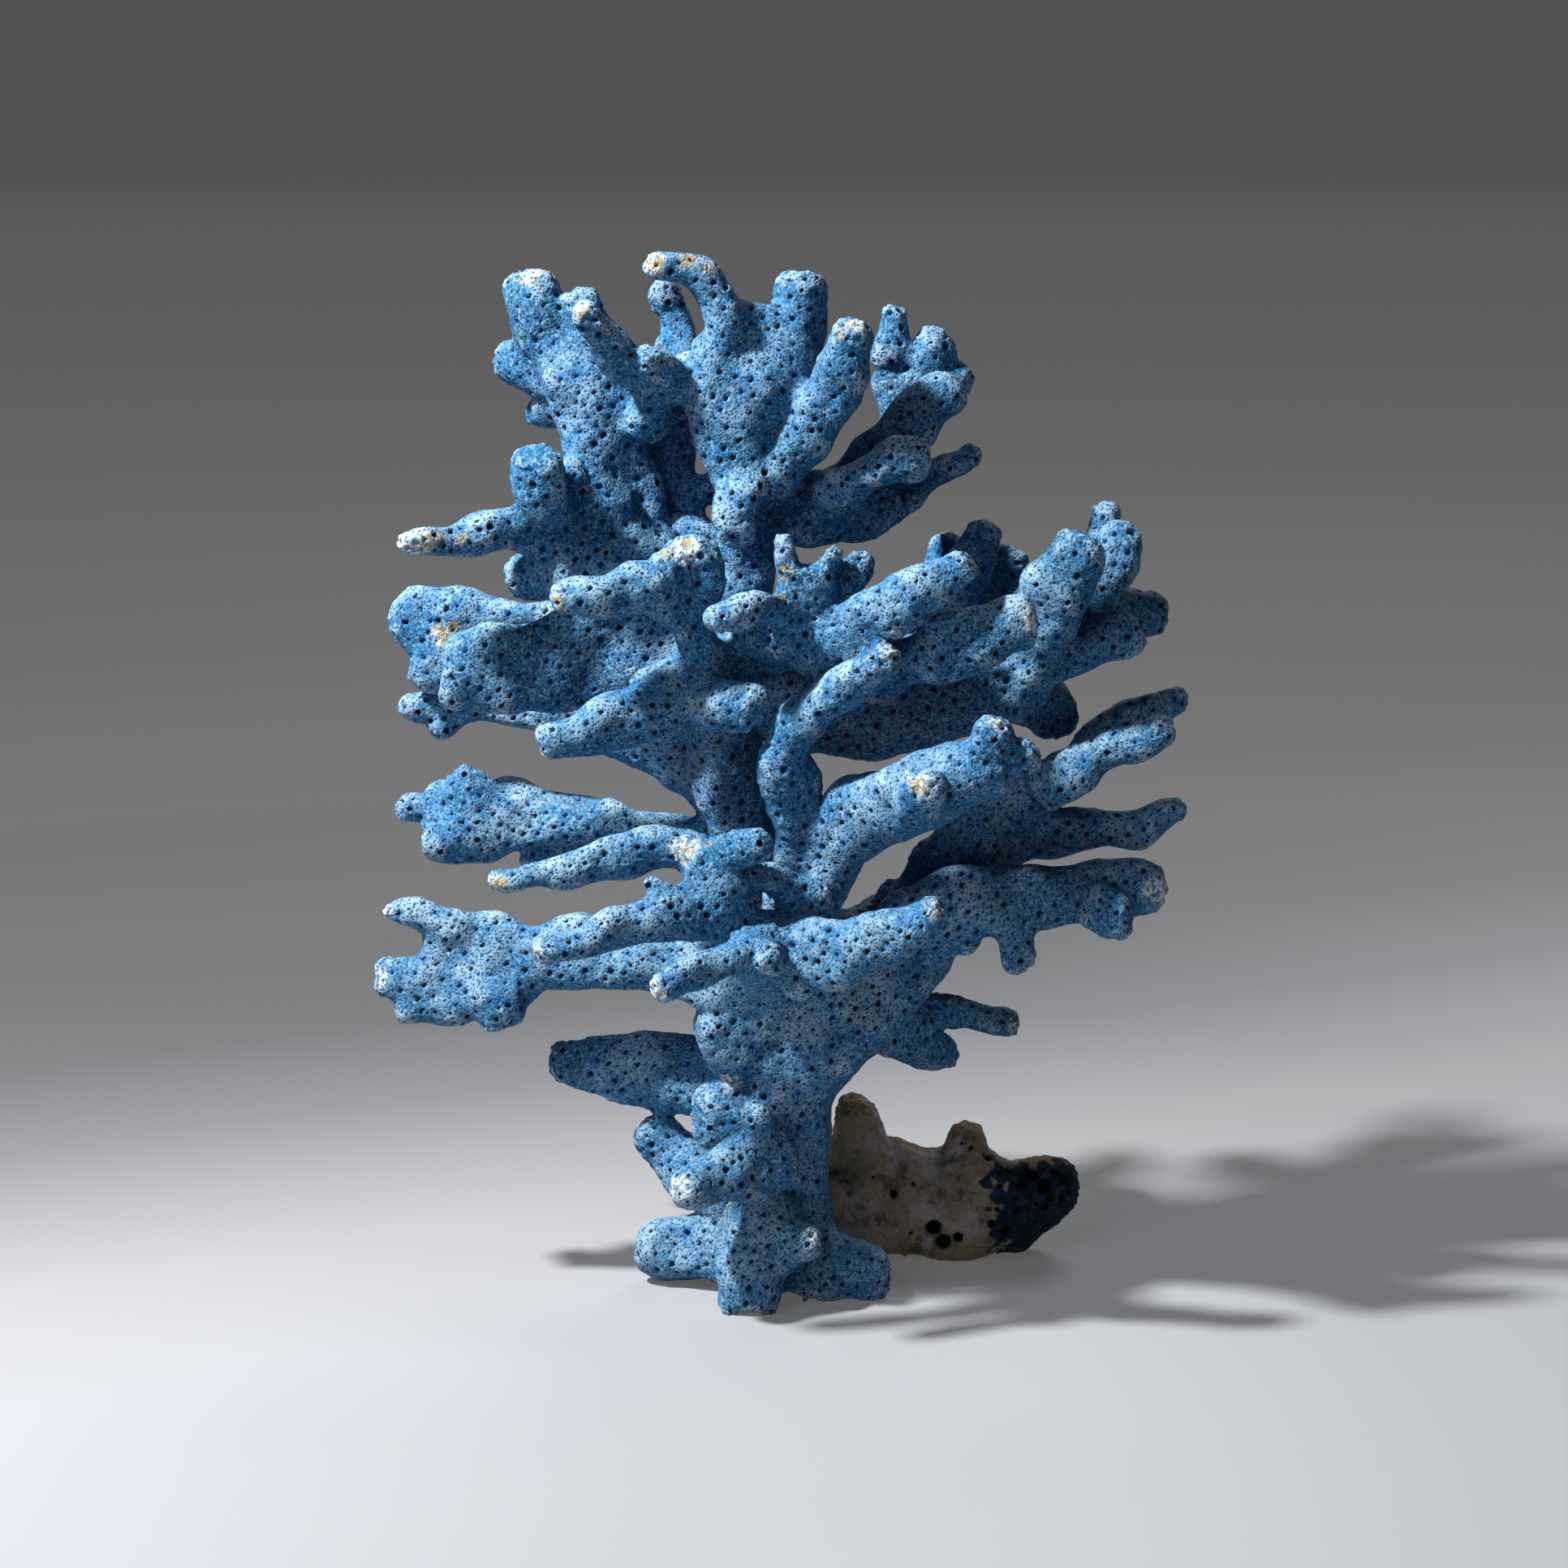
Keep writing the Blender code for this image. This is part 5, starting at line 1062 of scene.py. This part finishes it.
def blue_coral_aragonite():
    """Blue coral skeleton: porous fibrous aragonite, coloured blue by iron salts while it grew.  It is dry
    and
    chalky, so it is dull all over: a pale dusty net round fine blue pores, clear azure round many of the
    large pores and at the growing ends, and white crystal where a tip broke.  Painted light makes it paler on
    the side that faces the lamps and on sharp ridges.  Painted shade makes it deeper blue towards the crown,
    in the hollows and in spots where shadows fall, and near black inside the large pores.  Less dust in the
    hollows and more on the ridges add to it."""
    finish = {"Roughness": 0.88, "IOR": 1.55, "Specular IOR Level": 0.25}
    material, tree, shader, place = bare_material("blue_coral_aragonite", finish)
    cells = add(tree, "ShaderNodeTexVoronoi", {"Vector": place, "Scale": per_metre(NET_CELL),
                                               "Randomness": 0.9})
    net = add(tree, "ShaderNodeMapRange", {"Value": cells.outputs["Distance"], "From Min": 0.17,
                                           "From Max": 0.55}, interpolation_type="SMOOTHSTEP").outputs[0]
    young = mark_mask(tree, "young", 0.1, 0.75), patches(tree, place, 5.0, 0.25, 0.5)
    # Painted light: the pale coats follow the side of the skin that faces the lamps
    pale = mark_mask(tree, "painted_light", 0.45, 0.95), patches(tree, place, 9.0, 0.25, 0.62)
    # Painted shade: deeper blue in the spots where shadows fall
    deep = mark_mask(tree, "shade_spot", 0.1, 0.9), 0.75
    wall = layered(tree, srgb("#175C87"), [
        ("#7998AD", *pale),
        ("#6C8BA5", patches(tree, place, 11.0, 0.5, 0.7, seed=(0.3, 0.1, 0.2)), 0.5),
        ("#1A6692", patches(tree, place, 5.0, 0.5, 0.66), 0.7),
        ("#1D628C", *young, 0.85),
        # Partly painted shade: deeper blue in the valleys, partly the skeleton less dusted there
        ("#0A4368", mark_mask(tree, "hollow", 0.58, 0.95), 0.8),
        ("#175275", *deep),
        ("#14629A", mark_mask(tree, "halo", 0.05, 0.7), 0.8),
        # Partly painted light: paler on sharp ridges, partly dust on the exposed edges
        ("#96AFC0", mark_mask(tree, "hollow", 0.22, 0.0), 0.5),
        ("#A5B9C6", patches(tree, place, 0.55, 0.5, 0.66, detail=2.0), 0.34),
    ])
    floors = layered(tree, srgb("#07365A"), [
        ("#1C6093", *pale),
        ("#0B4A78", *young, 0.9),
        ("#042842", *deep),
    ])
    netted = add(tree, "ShaderNodeMix", {0: net, 6: floors, 7: wall}, data_type="RGBA").outputs[2]
    colour = layered(tree, netted, [
        ("#0A385C", mark_mask(tree, "speck", 0.3, 0.62)),
        # Partly painted shade: the skeleton's deep blue darkened to near black inside the large pores
        ("#061F36", mark_mask(tree, "pore", 0.1, 0.4)),
        ("#BCC1BE", mark_mask(tree, "fresh", 0.2, 0.8), patches(tree, place, 0.7, 0.42, 0.58)),
        ("#968862", mark_mask(tree, "sediment", 0.3, 0.9), patches(tree, place, 0.9, 0.44, 0.6)),
        ("#5E4A2C", mark_mask(tree, "sediment", 0.5, 1.0), patches(tree, place, 0.6, 0.55, 0.64)),
    ])
    tree.links.new(colour, shader.inputs["Base Color"])
    grain = add(tree, "ShaderNodeTexNoise", {"Vector": place, "Scale": per_metre(0.3), "Detail": 2.0})
    rough = add(tree, "ShaderNodeTexNoise", {"Vector": place, "Scale": per_metre(1.4), "Detail": 3.0})
    relief = rough_relief(tree, [(rough.outputs[0], 0.10), (net, 0.08), (grain.outputs[0], 0.08)])
    tree.links.new(relief, shader.inputs["Normal"])
    return material


def dead_coral_crust():
    """The old branch: coral long dead, under a crust of coralline algae, silt and boring sponge.  Grey brown
    and tan with pinkish grey patches, pitted, and bare navy skeleton riddled with holes at its far end.  Its
    deep valleys and its holes are painted near black, as painted shade."""
    finish = {"Roughness": 0.92, "IOR": 1.5, "Specular IOR Level": 0.2}
    material, tree, shader, place = bare_material("dead_coral_crust", finish)
    bared = mark_mask(tree, "bared", 0.2, 0.8)
    colour = layered(tree, srgb("#7D7466"), [
        ("#8F8470", patches(tree, place, 6.0, 0.42, 0.62)),
        ("#4C473E", patches(tree, place, 3.6, 0.5, 0.7, seed=(0.2, 0.5, 0.1))),
        ("#A0969A", patches(tree, place, 8.0, 0.5, 0.6, seed=(0.7, 0.2, 0.4)), 0.75),
        ("#8A7250", mark_mask(tree, "hollow", 0.5, 0.15), 0.6),
        # Painted shade: near black in the deep valleys of the crust
        ("#26221D", mark_mask(tree, "hollow", 0.55, 0.95), 0.8),
        ("#A39A88", patches(tree, place, 0.8, 0.56, 0.68), 0.4),
        ("#2B2620", patches(tree, place, 0.6, 0.58, 0.68, seed=(0.1, 0.8, 0.3)), 0.5),
        ("#101D2B", bared),
        ("#1F364D", bared, patches(tree, place, 1.0, 0.42, 0.72)),
        ("#8E9290", mark_mask(tree, "fresh", 0.3, 0.9), patches(tree, place, 0.7, 0.46, 0.6)),
        # Painted shade: near black inside the bored holes
        ("#0A0A09", mark_mask(tree, "pore", 0.1, 0.5)),
    ])
    tree.links.new(colour, shader.inputs["Base Color"])
    grain = add(tree, "ShaderNodeTexNoise", {"Vector": place, "Scale": per_metre(0.5), "Detail": 3.0})
    rough = add(tree, "ShaderNodeTexNoise", {"Vector": place, "Scale": per_metre(2.2), "Detail": 3.0})
    relief = rough_relief(tree, [(rough.outputs[0], 0.4), (grain.outputs[0], 0.16)])
    tree.links.new(relief, shader.inputs["Normal"])
    return material


def shaded_by(tree, distance, shades):
    """Colour that passes from shade to shade as the distance grows; shades are (metres, hex colour)."""
    coats = []
    for (near, _), (far, code) in zip(shades, shades[1:]):
        mask = add(tree, "ShaderNodeMapRange", {"Value": distance, "From Min": near, "From Max": far})
        coats.append((code, mask.outputs[0]))
    return layered(tree, srgb(shades[0][1]), coats)


def studio_paper():
    """Seamless matt paper, painted darker towards the back left, that glows with painted light, dim even grey
    behind.
    """
    finish = {"Roughness": 0.95, "Specular IOR Level": 0.1, "Emission Strength": 1.0}
    material, tree, shader, place = bare_material("studio_paper", finish)
    towards = add(tree, "ShaderNodeVectorMath", {0: place, 1: FLOOR_LIT_SIDE}, operation="DOT_PRODUCT")
    away = add(tree, "ShaderNodeVectorMath", {0: place}, operation="LENGTH")
    tree.links.new(shaded_by(tree, towards.outputs["Value"], FLOOR_PAINTED_SHADES), shader.inputs["Base Color"])
    # Painted light: the paper glows, by distance from the middle
    tree.links.new(shaded_by(tree, away.outputs["Value"], FLOOR_PAINTED_GLOWS), shader.inputs["Emission Color"])
    return material


def build_floor():
    """Rings of points carried round the upright axis: out to FLOOR_RADIUS at height 0, the k-th ring at
    FLOOR_RADIUS (k / rings)^3 so that it is fine near the coral, then up a quarter circle of SWEEP_RADIUS."""
    flat = FLOOR_RADIUS * (np.arange(1, FLOOR_RINGS + 1) / FLOOR_RINGS) ** 3
    bend = 0.5 * math.pi * np.arange(1, SWEEP_RINGS + 1) / SWEEP_RINGS
    radius = np.concatenate([flat, FLOOR_RADIUS + SWEEP_RADIUS * np.sin(bend)])[:, None]
    height = np.concatenate([np.zeros(FLOOR_RINGS), SWEEP_RADIUS * (1 - np.cos(bend))])[:, None]
    turn = 2 * math.pi * np.arange(FLOOR_SIDES)[None, :] / FLOOR_SIDES
    ring = np.stack([radius * np.cos(turn), radius * np.sin(turn), height + 0 * turn], axis=-1)
    k, j = np.meshgrid(np.arange(len(radius) - 1), np.arange(FLOOR_SIDES), indexing="ij")
    inner, inner_next = k * FLOOR_SIDES + j + 1, k * FLOOR_SIDES + (j + 1) % FLOOR_SIDES + 1
    quads = np.stack([inner, inner + FLOOR_SIDES, inner_next + FLOOR_SIDES, inner_next], axis=-1)
    hub = np.stack([0 * j[0], inner[0], inner_next[0]], axis=-1)
    mesh = bpy.data.meshes.new("studio_floor")
    points = [(0.0, 0.0, 0.0)] + ring.reshape(-1, 3).tolist()
    mesh.from_pydata(points, [], hub.tolist() + quads.reshape(-1, 4).tolist())
    mesh.polygons.foreach_set("use_smooth", np.ones(len(mesh.polygons), dtype=bool))
    mesh.materials.append(studio_paper())
    floor = placed("studio_floor", mesh)


def aimed(obj, place, target):
    """Puts a lamp at place, pointing at target."""
    direction = np.array(target) - np.array(place)
    obj.location = place
    across = math.atan2(direction[0], direction[1])
    up = math.atan2(direction[2], np.hypot(*direction[:2]))
    obj.rotation_euler = (math.pi / 2 + up, 0.0, -across)


def build_lamps():
    """The soft studio lamps, and the dim air that fills the shadows."""
    for name, place, size, watts, colour in LAMPS:
        light = bpy.data.lights.new(name, "AREA")
        light.shape = "DISK"
        light.size = size
        light.energy = watts
        light.color = srgb(colour)[:3]
        aimed(placed(name, light), place, LAMP_TARGET)
    world = bpy.data.worlds.new("studio_air")
    world.use_nodes = True
    backdrop = world.node_tree.nodes["Background"]
    backdrop.inputs["Color"].default_value = srgb(AIR_COLOUR)
    backdrop.inputs["Strength"].default_value = AIR_STRENGTH
    bpy.context.scene.world = world


def build_camera():
    """The photograph's camera: square frame, PHOTO_WIDTH millimetres wide at the measuring plane."""
    camera = bpy.data.cameras.new("photo_camera")
    camera.sensor_width = SENSOR_WIDTH
    camera.sensor_fit = "HORIZONTAL"
    camera.lens = SENSOR_WIDTH * EYE_DISTANCE / PHOTO_WIDTH
    camera.clip_start, camera.clip_end = CLIP
    obj = placed("photo_camera", camera)
    obj.location = (EYE - FOOT) * MM
    obj.rotation_euler = (math.pi / 2 - EYE_TILT, 0.0, 0.0)
    bpy.context.scene.camera = obj


build_camera()
build_floor()
build_lamps()
build_coral(blue_coral_aragonite(), dead_coral_crust())

bpy.context.scene.view_settings.view_transform = "Standard"
bpy.context.scene.view_settings.look = "None"
